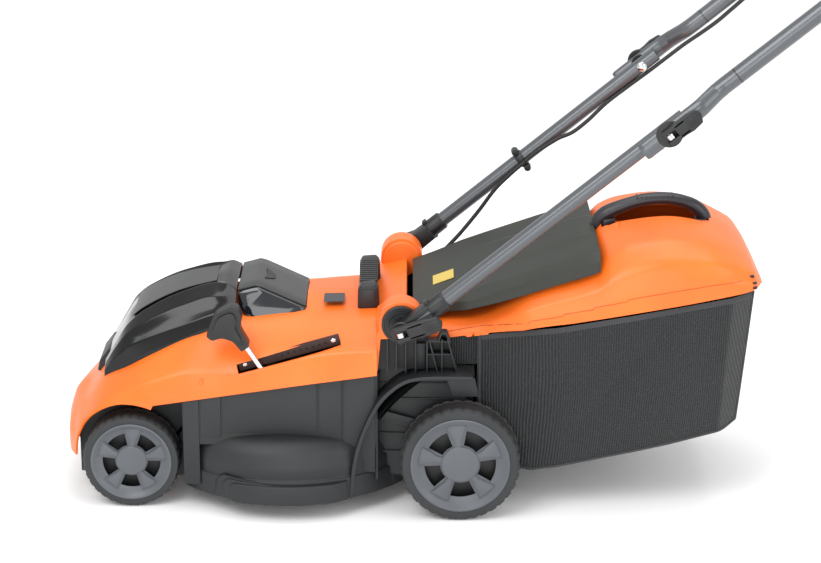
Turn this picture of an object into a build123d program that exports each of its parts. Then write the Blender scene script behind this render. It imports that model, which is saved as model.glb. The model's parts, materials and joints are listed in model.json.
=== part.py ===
from build123d import *
import os
from math import atan2, cos, degrees, hypot, pi, radians, sin, tan

os.makedirs("parts", exist_ok=True)

# Cordless rotary mower. All sizes in mm. It is drawn from the rear axle: X = 0 at the rear
# wheels, +X towards the grass bag, Y = 0 on the middle plane, Z = 0 on the ground.
# Every node is moved by -MIDDLE_X when it is saved, so the origin lies under the middle.

# wheels and axles
WHEELBASE = 472.5
REAR_R = 85.0
REAR_W = 48.0
REAR_FACE = 200.0
FRONT_R = 70.0
FRONT_W = 42.0
FRONT_FACE = 150.0
AXLE_R = 6.0
FIT = 0.05
GAP = 0.4
BUSH_R = 9.5

# height adjustment: three equal cranks and a draw bar
CRANK = 57.0
SWING = 52.0
LINK = 50.0
LEVER_LEAN = 32.0
LEVER_PIVOT = (-233.6, 135.8)
LEVER_Y = 150.0

# blade housing
BLADE_X = -245.0
BLADE_R = 172.0
BLADE_Z = 32.0
DOME_R = 200.0
DOME_TOP = 118.0
SKIRT_Z = 27.0
WALL = 3.5
COVER = 3.0
CHUTE_Y = 78.0
MOTOR_R = 40.0

# handle
PIVOT = (-84.0, 287.0)
TOWER_R = 31.5
TOWER_IN = 130.0
TOWER_OUT = 165.0
LOWER_Y = 188.0
LOWER_R = 11.0
UPPER_END_Y = 207.6
UPPER_Y = 190.0
UPPER_R = 12.0
TUBE_WALL = 1.5
HANDLE_ANGLE = 39.2
FOOT = (-49.0, 308.4)
JOINT_AT = 421.0
TOP_AT = 1010.0
TOP_BEND = 55.0

# bag and flap
FLAP_PIVOT = (-58.0, 284.0)
FLAP_ANGLE = 18.0
BAG_FRONT = 26.0
BAG_END = 436.0

# the grip is the rearmost point and the nose the foremost
NOSE_X = -573.0
SLOPE = radians(HANDLE_ANGLE)
GRIP_R = 16.0
GRIP_X = FOOT[0] + TOP_AT * cos(SLOPE)
MIDDLE_X = (NOSE_X + GRIP_X + GRIP_R) / 2


# ---------------------------------------------------------------- drawing helpers

def block(x0, x1, y0, y1, z0, z1):
    """A box between two corners."""
    centre = Pos((x0 + x1) / 2, (y0 + y1) / 2, (z0 + z1) / 2)
    return centre * Box(x1 - x0, y1 - y0, z1 - z0)


def cross_rod(x, z, y0, y1, radius):
    """A cylinder along Y."""
    return Pos(x, (y0 + y1) / 2, z) * Rot(90, 0, 0) * Cylinder(radius, y1 - y0)


def side_plate(outline, y0, y1):
    """A flat plate whose outline is drawn in the side view as (x, z) points."""
    face = make_face(Plane.XZ * Polyline(*outline, close=True))
    return Pos(0, y0, 0) * extrude(face, y1 - y0, dir=(0, 1, 0))


def disc_about(x, profile):
    """A turned part about a vertical axis at x, from (radius, z) points."""
    face = make_face(Plane.XZ * Polyline(*profile, close=True))
    return Pos(x, 0, 0) * revolve(face, Axis.Z)


def turned(profile, x, z):
    """A turned part about a cross axis at (x, z), from (radius, y) points."""
    face = make_face(Plane.XY * Polyline(*profile, close=True))
    return Pos(x, 0, z) * revolve(face, Axis.Y)


def both_sides(shape):
    return Compound(children=[*solids_of(shape), *solids_of(mirror(shape, Plane.XZ))])


def solids_of(shape):
    return list(shape.solids())


def group(*shapes):
    found = []
    for shape in shapes:
        found += solids_of(shape)
    return Compound(children=found)


def lofted(stations, inset=0.0, floor=0.0):
    """A shell block through half sections {x: [(y, z) ...]} from the bottom edge to the top."""
    faces = []
    for x, half in stations:
        near = [(max(y - inset, 0.0), z - inset) for y, z in half]
        near[0] = (near[0][0], near[0][1] + inset - floor)
        points = [(x, -y, z) for y, z in near]
        points += [(x, y, z) for y, z in reversed(near[:-1])]
        faces.append(make_face(Polyline(*points, close=True)))
    return loft(faces, ruled=True)


def along(s, rise=0.0, y=0.0):
    """A point at distance s up the handle from its foot, with a rise square to the tube."""
    x = FOOT[0] + s * cos(SLOPE) - rise * sin(SLOPE)
    z = FOOT[1] + s * sin(SLOPE) + rise * cos(SLOPE)
    return (x, y, z)


def on_handle(shape, s, y=0.0, rise=0.0):
    """Puts a shape drawn along X, with its top to +Z, on the handle line."""
    return Pos(*along(s, rise, y)) * Rot(0, -HANDLE_ANGLE, 0) * shape


def save(name, shape):
    placed = Pos(-MIDDLE_X, 0, 0) * shape
    export_step(placed, f"parts/{name}.step")


# ---------------------------------------------------------------- cranks

HALF_SWING = radians(SWING / 2)
REAR_PIVOT = (-CRANK * cos(HALF_SWING), REAR_R - CRANK * sin(HALF_SWING))
FRONT_PIVOT = (-WHEELBASE - CRANK * cos(HALF_SWING), FRONT_R - CRANK * sin(HALF_SWING))
LINK_X = -LINK * sin(HALF_SWING)
LINK_Z = LINK * cos(HALF_SWING)
REAR_PIN = (REAR_PIVOT[0] + LINK_X, REAR_PIVOT[1] + LINK_Z)
FRONT_PIN = (FRONT_PIVOT[0] + LINK_X, FRONT_PIVOT[1] + LINK_Z)
LEVER_PIN = (LEVER_PIVOT[0] + LINK_X, LEVER_PIVOT[1] + LINK_Z)
LINK_Y = (-91.5, -87.5)
BAR_Y = (-86.5, -82.5)
PIN_R = 4.0
OPEN_PIN_GAP = 0.6
ARM_R = 9.0


def arm(a, b, y0, y1, radius):
    """A flat crank arm with round ends between two cross axes."""
    length = hypot(b[0] - a[0], b[1] - a[1])
    angle = degrees(atan2(b[1] - a[1], b[0] - a[0]))
    web = Pos(length / 2, 0, 0) * Box(length, y1 - y0, 2 * radius)
    web = Pos(a[0], (y0 + y1) / 2, a[1]) * Rot(0, -angle, 0) * web
    return web + cross_rod(*a, y0, y1, radius) + cross_rod(*b, y0, y1, radius)


def axle(pivot, wheel, pin, bar_half, arm_y, stub_end):
    """A steel rod cranked at both ends, with a welded arm for the draw bar."""
    rod = cross_rod(*pivot, -bar_half, bar_half, AXLE_R)
    for side in (-1, 1):
        y0, y1 = sorted((side * arm_y[0], side * arm_y[1]))
        rod += arm(pivot, wheel, y0, y1, ARM_R)
        y0, y1 = sorted((side * arm_y[0], side * stub_end))
        rod += cross_rod(*wheel, y0, y1, AXLE_R)
    rod += arm(pivot, pin, *LINK_Y, ARM_R)
    return rod + cross_rod(*pin, LINK_Y[0], BAR_Y[1] + 1, PIN_R)


def axle_bushes():
    rings = []
    for pivot, wall_y in ((REAR_PIVOT, 134.0), (FRONT_PIVOT, 93.0)):
        for side in (-1, 1):
            y0, y1 = sorted((side * (wall_y - 1), side * (wall_y + 2)))
            ring = cross_rod(*pivot, y0, y1, BUSH_R)
            rings.append(ring - cross_rod(*pivot, y0 - 1, y1 + 1, AXLE_R + FIT))
    x, z = LEVER_PIVOT
    ring = cross_rod(x, z, -132, -122, BUSH_R) - cross_rod(x, z, -133, -121, AXLE_R + FIT)
    return group(*rings, ring)


def draw_bar():
    """The bent bar that joins the three cranks, with a lug up to the lever."""
    thick = 10.0
    over = DOME_TOP + 15
    line = [FRONT_PIN, (-500, over - 14), (-462, over), (-84, over), REAR_PIN]
    top = [(x, z + thick / 2) for x, z in line]
    under = [(x, z - thick / 2) for x, z in reversed(line)]
    bar = side_plate(top + under, *BAR_Y)
    lug = [(LEVER_PIN[0] - 40, over), (LEVER_PIN[0] - 9, LEVER_PIN[1]),
           (LEVER_PIN[0] + 9, LEVER_PIN[1]), (LEVER_PIN[0] + 30, over)]
    bar += side_plate(lug, *BAR_Y)
    for pin, gap in ((FRONT_PIN, OPEN_PIN_GAP), (LEVER_PIN, OPEN_PIN_GAP), (REAR_PIN, FIT)):
        bar += cross_rod(*pin, *BAR_Y, 8)
    for pin, gap in ((FRONT_PIN, OPEN_PIN_GAP), (LEVER_PIN, OPEN_PIN_GAP), (REAR_PIN, FIT)):
        bar -= cross_rod(*pin, BAR_Y[0] - 1, BAR_Y[1] + 1, PIN_R + gap)
    return bar


# ---------------------------------------------------------------- wheels

def wheel_parts(x, radius, width, face, side):
    """Tyre and spoked wheel. The outer face is at |y| = face."""
    inner = face - width
    rim_r = radius * 0.82
    chamfer = 5.0
    tyre = turned([(rim_r, inner), (radius - chamfer, inner), (radius, inner + chamfer),
                   (radius, face - chamfer), (radius - chamfer, face), (rim_r, face - 1)], x, radius)
    hub_r = radius * 0.32
    dish = face - 9
    rim = turned([(AXLE_R + FIT, inner + 4), (hub_r * 0.62, inner + 4), (hub_r * 0.62, dish - 6),
                  (rim_r - 5, dish - 6), (rim_r - 5, inner + 2), (rim_r, inner + 2),
                  (rim_r, face - 1), (rim_r - 4, face - 1), (rim_r - 8, dish),
                  (hub_r, dish), (hub_r, face - 3), (0, face - 3), (0, face - 5),
                  (AXLE_R + FIT, face - 5)], x, radius)
    windows = []
    for k in range(5):
        turn = Rot(0, 72 * k + 36, 0)
        slot = turn * Pos(0, 0, radius * 0.53) * Box(radius * 0.36, 3 * width, radius * 0.27)
        windows.append(Pos(x, face, radius) * slot)
    rim -= windows
    if side < 0:
        tyre = mirror(tyre, Plane.XZ)
        rim = mirror(rim, Plane.XZ)
    return tyre, rim


# ---------------------------------------------------------------- deck

CHUTE_IN = [(-180, 45), (-180, 113), (-97, 204.5), (-10, 204.5), (-10, 86), (-60, 72), (-66, 66), (-66, 45)]
CHUTE_OUT = [(-183, 116), (-99, 208), (-14, 208), (-14, 82), (-60, 67.5), (-66, 60), (-120, 100)]
FENDER_START = (-158.5, SKIRT_Z)
FENDER_MID = (-128.0, 130.0)
FENDER_TOP = (-50.0, 213.0)
FENDER_END = (20.0, 213.0)
FENDER_Y = 180.0
HOOD_EDGE = ((-440.0, 158.0), (-118.0, 213.6))
POCKET_X = -395.6
SIDE_Y = 158.0
REAR_IN = 136.0
FRONT_IN = 96.0
ARCH_R = 82.0


def hood_edge_z(x):
    (x0, z0), (x1, z1) = HOOD_EDGE
    return z0 + (x - x0) * (z1 - z0) / (x1 - x0)


def fender_web(y0, y1, thick):
    """The arched lip round the front and top of the rear wheel."""
    arch = ThreePointArc(FENDER_START, FENDER_MID, FENDER_TOP)
    lower = ThreePointArc((FENDER_START[0] + thick, SKIRT_Z), (FENDER_MID[0] + thick, FENDER_MID[1] - 2),
                          (FENDER_TOP[0] + 1, FENDER_TOP[1] - thick))
    edge = [arch, Line(FENDER_TOP, FENDER_END),
            Line(FENDER_END, (FENDER_END[0], FENDER_END[1] - thick)),
            Line((FENDER_END[0], FENDER_END[1] - thick), lower @ 1), lower,
            Line(lower @ 0, FENDER_START)]
    face = make_face([Plane.XZ * e for e in edge])
    return Pos(0, y0, 0) * extrude(face, y1 - y0, dir=(0, 1, 0))


DOME = [(DOME_R, SKIRT_Z), (DOME_R, 58), (196, 60), (196, 76), (190, 98), (176, 112), (150, DOME_TOP)]
SILL_X = -61.0
RELIEF_X = -84.0
RELIEF_Y = (-94.0, -81.0)


def dome_block(inset, floor):
    """The turned blade chamber as a filled block, drawn in from its outside."""
    rim = [(r - inset, z - (0 if z == SKIRT_Z else inset / 2)) for r, z in DOME]
    rim[0] = (rim[0][0], floor)
    top = DOME_TOP - inset
    rim[-1] = (rim[-1][0], top)
    return disc_about(BLADE_X, [(0, floor), *rim, (0, top)])


def mirrored_pair(x0, x1, y0, y1, z0, z1):
    return [block(x0, x1, *sorted((side * y0, side * y1)), z0, z1) for side in (-1, 1)]


def side_wall(side):
    """Outer side wall between the two pairs of wheels."""
    plan = [(POCKET_X, SIDE_Y - 4), (-130, SIDE_Y + 4), (-118, SIDE_Y + 4), (-118, SIDE_Y + 4 - WALL),
            (-130, SIDE_Y + 4 - WALL), (POCKET_X, SIDE_Y - 4 - WALL)]
    face = make_face(Polyline(*[(x, side * y) for x, y in plan], close=True))
    wall = Pos(0, 0, 37) * extrude(face, 200, dir=(0, 0, 1))
    below = [(-700, 0), (-700, 170), (POCKET_X, hood_edge_z(POCKET_X)), (-117, hood_edge_z(-117)), (-117, 0)]
    return wall & side_plate(below, -300, 300)


def deck():
    w = WALL
    body = dome_block(0, SKIRT_Z)
    for cut in mirrored_pair(-600, POCKET_X, FRONT_IN, 220, 0, 130):
        body -= cut
    body -= block(SILL_X, 60, -220, 220, 0, 130)
    body -= block(RELIEF_X, 60, *RELIEF_Y, 0, 130)

    pieces = [side_wall(-1), side_wall(1)]
    pieces += mirrored_pair(POCKET_X, POCKET_X + w, FRONT_IN - 5, SIDE_Y - 5, 37, hood_edge_z(POCKET_X) - 0.2)
    rail = [(-552, 34), (-552, 100), (-520, 134), (-440, 150), (POCKET_X + w, 150), (POCKET_X + w, 34)]
    pieces += [side_plate(rail, *sorted((side * (FRONT_IN - w), side * FRONT_IN))) for side in (-1, 1)]
    pieces += mirrored_pair(-117, 8, REAR_IN - w, REAR_IN, 45, 211)
    pieces += mirrored_pair(-120, -117, REAR_IN - w, SIDE_Y + 2, 46, 211)
    pieces += [block(4.5, 7.8, -REAR_IN + 1, REAR_IN - 1, 46, 66),
               block(-120, 8, -REAR_IN + 0.5, REAR_IN - 0.5, 208.5, 212),
               block(-445, -441.5, -FRONT_IN + 1, FRONT_IN - 1, 37, DOME_TOP - 1),
               side_plate(CHUTE_OUT, -CHUTE_Y - 3, CHUTE_Y + 3)]
    for side in (-1, 1):
        y0, y1 = sorted((side * (REAR_IN - 1), side * FENDER_Y))
        pieces += [fender_web(y0, y1, 3.0), rear_ribs(side)]
    for piece in pieces:
        body += piece

    chamber = dome_block(w, 0)
    for keep in mirrored_pair(-600, POCKET_X + w, FRONT_IN - w, 220, -1, 130):
        chamber -= keep
    chamber -= block(SILL_X - w, 60, -220, 220, -1, 130)
    chamber -= block(RELIEF_X - w, 60, RELIEF_Y[0] - w, RELIEF_Y[1], -1, 130)
    body -= chamber
    body -= side_plate(CHUTE_IN, -CHUTE_Y, CHUTE_Y)
    body -= Pos(BLADE_X, 0, DOME_TOP) * Cylinder(14, 20)
    for pivot, y in ((REAR_PIVOT, 160), (FRONT_PIVOT, 100)):
        body -= cross_rod(*pivot, -y, y, BUSH_R)
    return body + lever_post()


def rear_ribs(side):
    """Upright ribs and the two-storey comb above each rear wheel."""
    y0, y1 = sorted((side * 140.0, side * 143.5))
    wall = block(-118, 6, y0, y1, 210, 250)
    y0, y1 = sorted((side * 136.0, side * 143.5))
    wall += block(-118, -114.5, y0, y1, 205, 250)
    y0, y1 = sorted((side * 142.0, side * 163.0))
    for k in range(4):
        x = -114.0 + 16 * k
        wall += block(x, x + 2.5, y0, y1, 211, 250)
    comb = [(-46, 211), (-46, 258), (-32, 262), (-26, 272), (-18, 272), (-10, 240), (-2, 211)]
    wall += side_plate(comb, *sorted((side * 140.0, side * 144.0)))
    for x, top in ((-46, 258), (-31, 262), (-18, 245)):
        wall += block(x, x + 2.5, y0, y1, 211, top)
    return wall + block(-46, -8, y0, y1, 236, 238.5)


def lever_post():
    """The bearing post for the height lever's cross shaft."""
    x, z = LEVER_PIVOT
    post = block(x - 12, x + 12, -131, -123, DOME_TOP - 1, z + 12)
    return post - cross_rod(x, z, -132, -122, BUSH_R)


# ---------------------------------------------------------------- hood and covers

HOOD_STATIONS = [
    (NOSE_X, [(45, 72), (46, 85), (46, 95), (40, 104), (20, 110), (0, 112)]),
    (-560.0, [(110, 68), (112, 85), (110, 98), (95, 108), (60, 124), (0, 136)]),
    (-545.0, [(136, 66), (138, 90), (136, 106), (122, 118), (80, 130), (0, 147)]),
    (-512.0, [(150, 66), (151, 100), (150, 130), (144, 152), (80, 182), (0, 190)]),
    (-480.0, [(152, 66), (153, 110), (152, 150), (146, 174), (94, 198), (0, 214)]),
    (-440.0, [(153, 66), (155, 120), (155, 165), (150, 198), (98, 226), (0, 240)]),
    (-335.0, [(162, 66), (163, 130), (162, 182), (150, 210), (94, 266), (0, 283)]),
    (-220.0, [(171, 66), (172, 150), (170, 200), (158, 234), (82, 275), (0, 278)]),
    (-118.0, [(181, 66), (181, 160), (180, 214), (172, 248), (86, 278), (0, 281)]),
]
SLOT_FRONT = (-313.0, 213.0)
SLOT_REAR = (-173.0, 253.5)
BAY = (-318.0, -226.0, 62.0)
CARRY_X = -131.0
TAIL_Y = 126.0


def hood_tail():
    """The narrower rear part of the hood between the towers, as a filled block."""
    return side_plate([(-118, 281), (-75, 290), (-75, 216), (-118, 216)], -TAIL_Y, TAIL_Y)


def hood():
    outer = lofted(HOOD_STATIONS)
    inner = lofted([(x + (COVER if x == NOSE_X else 0), h) for x, h in HOOD_STATIONS], COVER, 20)
    shell = outer - inner
    shell -= side_plate([(-440, 0), (-440, HOOD_EDGE[0][1]), (-118, HOOD_EDGE[1][1]), (-100, 0)], -300, 300)
    for side in (-1, 1):
        y0, y1 = sorted((side * (FRONT_IN + 1), side * 200))
        shell -= cross_rod(-WHEELBASE, FRONT_R + 6, y0, y1, ARCH_R)
        shell -= block(-WHEELBASE - ARCH_R + 2, -430, y0, y1, 0, FRONT_R + 6)
    shell += hood_tail() - side_plate([(-120, 278), (-78, 287), (-78, 200), (-120, 200)], -TAIL_Y + COVER, TAIL_Y - COVER)
    x0, x1, half = BAY
    shell -= block(x0, x1, -half, half, 200, 400)
    shell -= block(x1 - 1, x1 + 6, -half - 1, half + 1, 262, 400)
    for side in (-1, 1):
        y0, y1 = sorted((side * (half - 1), side * 89))
        shell -= block(x0 - 2, x1 + 6, y0, y1, 249, 400)
        shell += block(x0 - 2, x1 + 6, *sorted((side * half, side * 112)), 245.5, 248.5)
    shell -= side_plate([(SLOT_FRONT[0], 190), (SLOT_FRONT[0], 260), (SLOT_REAR[0], 290), (SLOT_REAR[0], 220)],
                        -156, -144)
    shell -= block(-165, -97, -50, 50, 262, 300)
    shell += block(-165, -97, -50, 50, 259, 262)
    return keep_largest(shell)


def keep_largest(shape):
    return max(solids_of(shape), key=lambda s: s.volume)


NOSE_STATIONS = [
    (-514.0, [(82, 184), (75, 191), (40, 198), (0, 199)]),
    (-480.0, [(95, 198), (87, 238), (40, 254), (0, 256)]),
    (-457.0, [(97, 214), (86, 253), (38, 271), (0, 272)]),
    (-346.0, [(98, 258), (84, 298), (37, 309), (0, 310)]),
    (-322.0, [(98, 264), (82, 299), (60, 303), (0, 303)]),
]


def nose_cover():
    shell = lofted(NOSE_STATIONS) - lofted([(x + (2.5 if x < -500 else 0), h) for x, h in NOSE_STATIONS], 2.5, 30)
    shell -= lofted(HOOD_STATIONS)
    lug = block(-526, -500, -60, 60, 170, 194) - lofted(HOOD_STATIONS)
    return keep_largest(shell + lug)


LID_TOP = [(-319.5, 302.5), (-290, 310), (-221, 278), (-222, 275), (-290, 307), (-319.5, 299.5)]
LID_HINGE = (-316.0, 298.5)
PANEL = [(-318, 299), (-290, 306.4), (-222, 274.6), (-224, 266), (-234, 256), (-262, 250),
         (-300, 250), (-318, 270)]


def battery_lid():
    lid = side_plate(LID_TOP, -63, 63)
    lid -= block(-240, -215, -34, 34, 200, 400)
    for y in (-56, 40):
        lid += cross_rod(*LID_HINGE, y, y + 16, 3.5)
    return lid


def lid_panels():
    panel = side_plate(PANEL, 63.0, 66.0)
    return both_sides(panel)


def handle_towers():
    x, z = PIVOT
    tower = cross_rod(x, z, TOWER_IN, TOWER_OUT, TOWER_R)
    tower += block(x - TOWER_R, x + TOWER_R, TOWER_IN, TOWER_OUT, 250.4, z)
    tower -= cross_rod(x, z, TOWER_IN - 1, TOWER_OUT + 1, AXLE_R + FIT)
    return both_sides(tower)


def carry_handle():
    x = CARRY_X
    bar = block(x - 14, x + 14, -70, 70, 296, 313)
    for side in (-1, 1):
        bar += block(x - 16, x + 16, *sorted((side * 52, side * 72)), 270, 305)
    return bar - lofted(HOOD_STATIONS) - hood_tail()


def height_rack():
    """The notched strip under the lever slot."""
    x0, z0 = SLOT_FRONT
    x1, z1 = SLOT_REAR
    strip = [(x0 - 4, z0 - 22), (x1 + 4, z1 - 22), (x1 + 4, z1 - 10), (x0 - 4, z0 - 10)]
    rack = side_plate(strip, -143.5, -140.5)
    for x, z in ((x0 + 5, z0 - 14), (x1 - 5, z1 - 14)):
        rack += block(x - 6, x + 6, -152, -141, z - 3, z)
    steps = 6
    notches = []
    for k in range(steps):
        x = x0 + 26 + k * (x1 - x0 - 46) / (steps - 1)
        z = z0 + (x - x0) * (z1 - z0) / (x1 - x0)
        notches.append(block(x - 5, x + 5, -145, -139, z - 16, z))
    return rack - notches


def housing_screws():
    """Two screws at the ends of the lever slot and four that hold the hood down."""
    places = [(SLOT_FRONT[0] + 5, -148, SLOT_FRONT[1] - 14), (SLOT_REAR[0] - 5, -148, SLOT_REAR[1] - 14)]
    places += [(x, side * 70, DOME_TOP) for x in (-390, -140) for side in (-1, 1)]
    return group(*[Pos(x, y, z + 1.5) * Cylinder(4, 3) for x, y, z in places])


# ---------------------------------------------------------------- motor, battery, electronics

def motor():
    can = Pos(BLADE_X, 0, DOME_TOP + 36) * Cylinder(MOTOR_R, 72)
    can += Pos(BLADE_X, 0, DOME_TOP + 3) * Cylinder(MOTOR_R + 14, 6)
    return can - Pos(BLADE_X, 0, DOME_TOP + 20) * Cylinder(8 + FIT, 60)


def motor_screws():
    screws = []
    for k in range(4):
        place = Pos(BLADE_X, 0, 0) * Rot(0, 0, 45 + 90 * k) * Pos(MOTOR_R + 8, 0, DOME_TOP + 8)
        screws.append(place * Cylinder(4, 4))
    return group(*screws)


def spindle():
    return Pos(BLADE_X, 0, 86) * Cylinder(8, 100)


def cooling_fan():
    hub = Pos(BLADE_X, 0, 60) * Cylinder(22, 14)
    plate = Pos(BLADE_X, 0, 66) * Cylinder(70, 3)
    fan = hub + plate
    for k in range(8):
        vane = Rot(0, 0, 45 * k) * Pos(43, 0, 72) * Box(46, 2.5, 12)
        fan += Pos(BLADE_X, 0, 0) * vane
    return fan - Pos(BLADE_X, 0, 66) * Cylinder(8, 40)


def blade():
    """A pressed steel bar with lifted wings at its trailing edges."""
    bar = Box(2 * BLADE_R, 46, 3.5) & Cylinder(BLADE_R, 10)
    for side in (-1, 1):
        wing = Pos(side * (BLADE_R - 38), side * 26, 5) * Rot(side * 32, 0, 0) * Box(56, 16, 3.5)
        bar += wing & Cylinder(BLADE_R, 40)
    bar -= Cylinder(6, 20)
    return Pos(BLADE_X, 0, BLADE_Z + 1.75) * bar


def blade_bolt():
    head = Pos(BLADE_X, 0, BLADE_Z - 4) * extrude(RegularPolygon(9, 6), 4)
    return head + Pos(BLADE_X, 0, BLADE_Z - 4 + 2) * Cylinder(6, 8)


def battery_bay():
    x0, x1, half = BAY
    bay = block(x0 + 3, x1 - 3, -half + 6, half - 6, 192, 252)
    return bay - block(x0 + 6, x1 - 6, -half + 9, half - 9, 196, 260)


def battery():
    return block(BAY[0] + 8, BAY[1] - 8, -40, 40, 206.4, 266)


def battery_terminals():
    return block(BAY[0] + 20, BAY[1] - 20, -25, 25, 196, 206)


def safety_key():
    key = block(-296, -280, 43, 50, 240, 256)
    return key + block(-300, -276, 42, 51, 256, 272)


def controller():
    return block(-440, -350, -45, 45, 160, 190)


def data_plate():
    return block(-196, -172, -62, -20, 282.4, 283.2)


# ---------------------------------------------------------------- handle

def handle_tube(s0, s1, y, radius):
    length = s1 - s0
    tube = Rot(0, 90, 0) * (Cylinder(radius, length) - Cylinder(radius - TUBE_WALL, length))
    return on_handle(tube, (s0 + s1) / 2, y)


def lower_tubes():
    tube = handle_tube(0, JOINT_AT + 28, LOWER_Y, LOWER_R)
    x, _, z = along(JOINT_AT)
    tube -= cross_rod(x, z, LOWER_Y - 20, LOWER_Y + 20, 4 + FIT)
    return both_sides(tube)


def handle_brackets():
    """Black socket with a round boss against each tower."""
    x, z = PIVOT
    boss = cross_rod(x, z, TOWER_OUT + GAP, 178, 27)
    body = on_handle(Box(86, 24, 26), -14, LOWER_Y, -1)
    body += on_handle(Rot(0, 90, 0) * Cylinder(14.5, 30), 22, LOWER_Y)
    joined = boss + body
    joined -= on_handle(Rot(0, 90, 0) * Cylinder(LOWER_R, 60), 30, LOWER_Y)
    joined -= cross_rod(x, z, TOWER_OUT - 1, 230, AXLE_R)
    return both_sides(joined)


CAM_EYE_R = 5.5
CHEEK_R = 8.0
NECK_R = 3.5
LOWER_CAM_Y = 212.0
UPPER_CAM_Y = 227.0
LOWER_CAM_TILT = 19.0


def eye_bolt(x, z, tilt, y_head, y_eye, shank_r, head_r):
    """A bolt along Y with a round eye for its lever's barrel pin."""
    bolt = cross_rod(x, z, y_head - 3, y_head, head_r)
    bolt += cross_rod(x, z, y_head, y_eye - CHEEK_R - GAP, shank_r)
    bolt += cross_rod(x, z, y_head, y_eye, min(shank_r, NECK_R))
    eye = Rot(0, -tilt, 0) * Cylinder(CAM_EYE_R, 8)
    barrel = Rot(0, -tilt, 0) * Cylinder(2.95, 22)
    return bolt + Pos(x, y_eye, z) * eye + Pos(x, y_eye, z) * barrel


def cam_lever(x, z, tilt, y_eye, length):
    """Two cheeks on the barrel pin, closed by a paddle."""
    cheeks = Cylinder(CHEEK_R, 22) - Cylinder(20, 8 + 2 * GAP)
    paddle = Pos(length / 2 + 8, 3, 0) * Box(length - 14, 7, 20)
    paddle += Pos(10, 2, 0) * Box(12, 9, 22)
    paddle -= Cylinder(CHEEK_R, 8 + 2 * GAP)
    lever = cheeks + paddle - Cylinder(3.0, 40)
    return Pos(x, y_eye, z) * Rot(0, -tilt, 0) * lever


def lower_cam(side):
    cam = cam_lever(*PIVOT, LOWER_CAM_TILT, LOWER_CAM_Y, 56)
    return cam if side > 0 else mirror(cam, Plane.XZ)


def pivot_bolts():
    x, z = PIVOT
    return both_sides(eye_bolt(x, z, LOWER_CAM_TILT, TOWER_IN - GAP, LOWER_CAM_Y, AXLE_R, 10))


def upper_cam(side):
    x, _, z = along(JOINT_AT)
    cam = cam_lever(x, z, HANDLE_ANGLE, UPPER_CAM_Y, 52)
    return cam if side > 0 else mirror(cam, Plane.XZ)


def joint_bolts():
    x, _, z = along(JOINT_AT)
    head = LOWER_Y - LOWER_R - GAP
    return both_sides(eye_bolt(x, z, HANDLE_ANGLE, head, UPPER_CAM_Y, 4, 7))


def cam_seats():
    x, _, z = along(JOINT_AT)
    face = UPPER_END_Y + 8
    seat = cross_rod(x, z, face, face + 3, 18)
    return both_sides(seat - cross_rod(x, z, face - 1, face + 6, 4))


def jog(radius, oval):
    """The squashed lower end of the upper tube and its step inwards, solid."""
    def section(s, y, a, b):
        plane = Plane(origin=along(JOINT_AT + s, 0, y), x_dir=(0, 1, 0),
                      z_dir=(cos(SLOPE), 0, sin(SLOPE)))
        return plane * Ellipse(a, b)
    straight = loft([section(-44, UPPER_END_Y, oval, radius + 1), section(42, UPPER_END_Y, oval, radius + 1)])
    step = loft([section(42, UPPER_END_Y, oval, radius + 1), section(96, UPPER_Y, radius, radius)], ruled=True)
    return straight + step


def upper_tube():
    ends = jog(UPPER_R, 8.0) - jog(UPPER_R - TUBE_WALL, 8.0 - TUBE_WALL)
    start = along(JOINT_AT + 96, 0, -UPPER_Y)
    top = along(TOP_AT, 0, -UPPER_Y)
    route = Polyline(start, top, (top[0], UPPER_Y, top[2]), (start[0], UPPER_Y, start[2]))
    route = FilletPolyline(*[v.to_tuple() for v in (route @ 0, Vector(*top),
                           Vector(top[0], UPPER_Y, top[2]), route @ 1)], radius=TOP_BEND)
    plane = Plane(origin=start, x_dir=(0, 1, 0), z_dir=(cos(SLOPE), 0, sin(SLOPE)))
    ring = plane * Circle(UPPER_R) - plane * Circle(UPPER_R - TUBE_WALL)
    tube = sweep(ring, path=route)
    tube = tube + ends + mirror(ends, Plane.XZ)
    x, _, z = along(JOINT_AT)
    return tube - cross_rod(x, z, -240, 240, 4)


def foam_grip():
    x, _, z = along(TOP_AT)
    return cross_rod(x, z, -125, 125, GRIP_R) - cross_rod(x, z, -126, 126, UPPER_R)


BOX_AT = TOP_AT - 118.0
BAIL_AT = TOP_AT - 100.0
BAIL_Y = 164.0
BAIL_R = 4.0
BAIL_LEAN = -38.0


def switch_box():
    """Switch housing on the +Y upright and the matching bail holder on the other."""
    box = on_handle(Box(92, 42, 52), BOX_AT, UPPER_Y - 6, -4)
    box -= on_handle(Cylinder(6.4, 20), BOX_AT + 18, UPPER_Y - 12, 22)
    holder = on_handle(Box(34, 40, 38), BAIL_AT, -UPPER_Y + 6, -2)
    tube = on_handle(Rot(0, 90, 0) * Cylinder(UPPER_R, 200), BOX_AT, UPPER_Y)
    parts = group(box - tube, holder - mirror(tube, Plane.XZ))
    x, _, z = along(BAIL_AT, -12)
    cut = cross_rod(x, z, -(BAIL_Y + 14), BAIL_Y + 14, BAIL_R + FIT)
    return group(*[s - cut for s in solids_of(parts)])


def bail():
    """The wire switch lever that is squeezed to the grip."""
    x, _, z = along(BAIL_AT, -12)
    tip = along(TOP_AT - 18, BAIL_LEAN)
    ends = [(x, -BAIL_Y + 12, z), (tip[0], -BAIL_Y + 12, tip[2]),
            (tip[0], BAIL_Y - 12, tip[2]), (x, BAIL_Y - 12, z)]
    route = FilletPolyline(*ends, radius=30)
    direction = Vector(tip[0] - x, 0, tip[2] - z)
    wire = sweep(Plane(origin=ends[0], z_dir=direction) * Circle(BAIL_R), path=route)
    for side in (-1, 1):
        wire += cross_rod(x, z, *sorted((side * (BAIL_Y - 15), side * (BAIL_Y + 12))), BAIL_R)
    return wire


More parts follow.
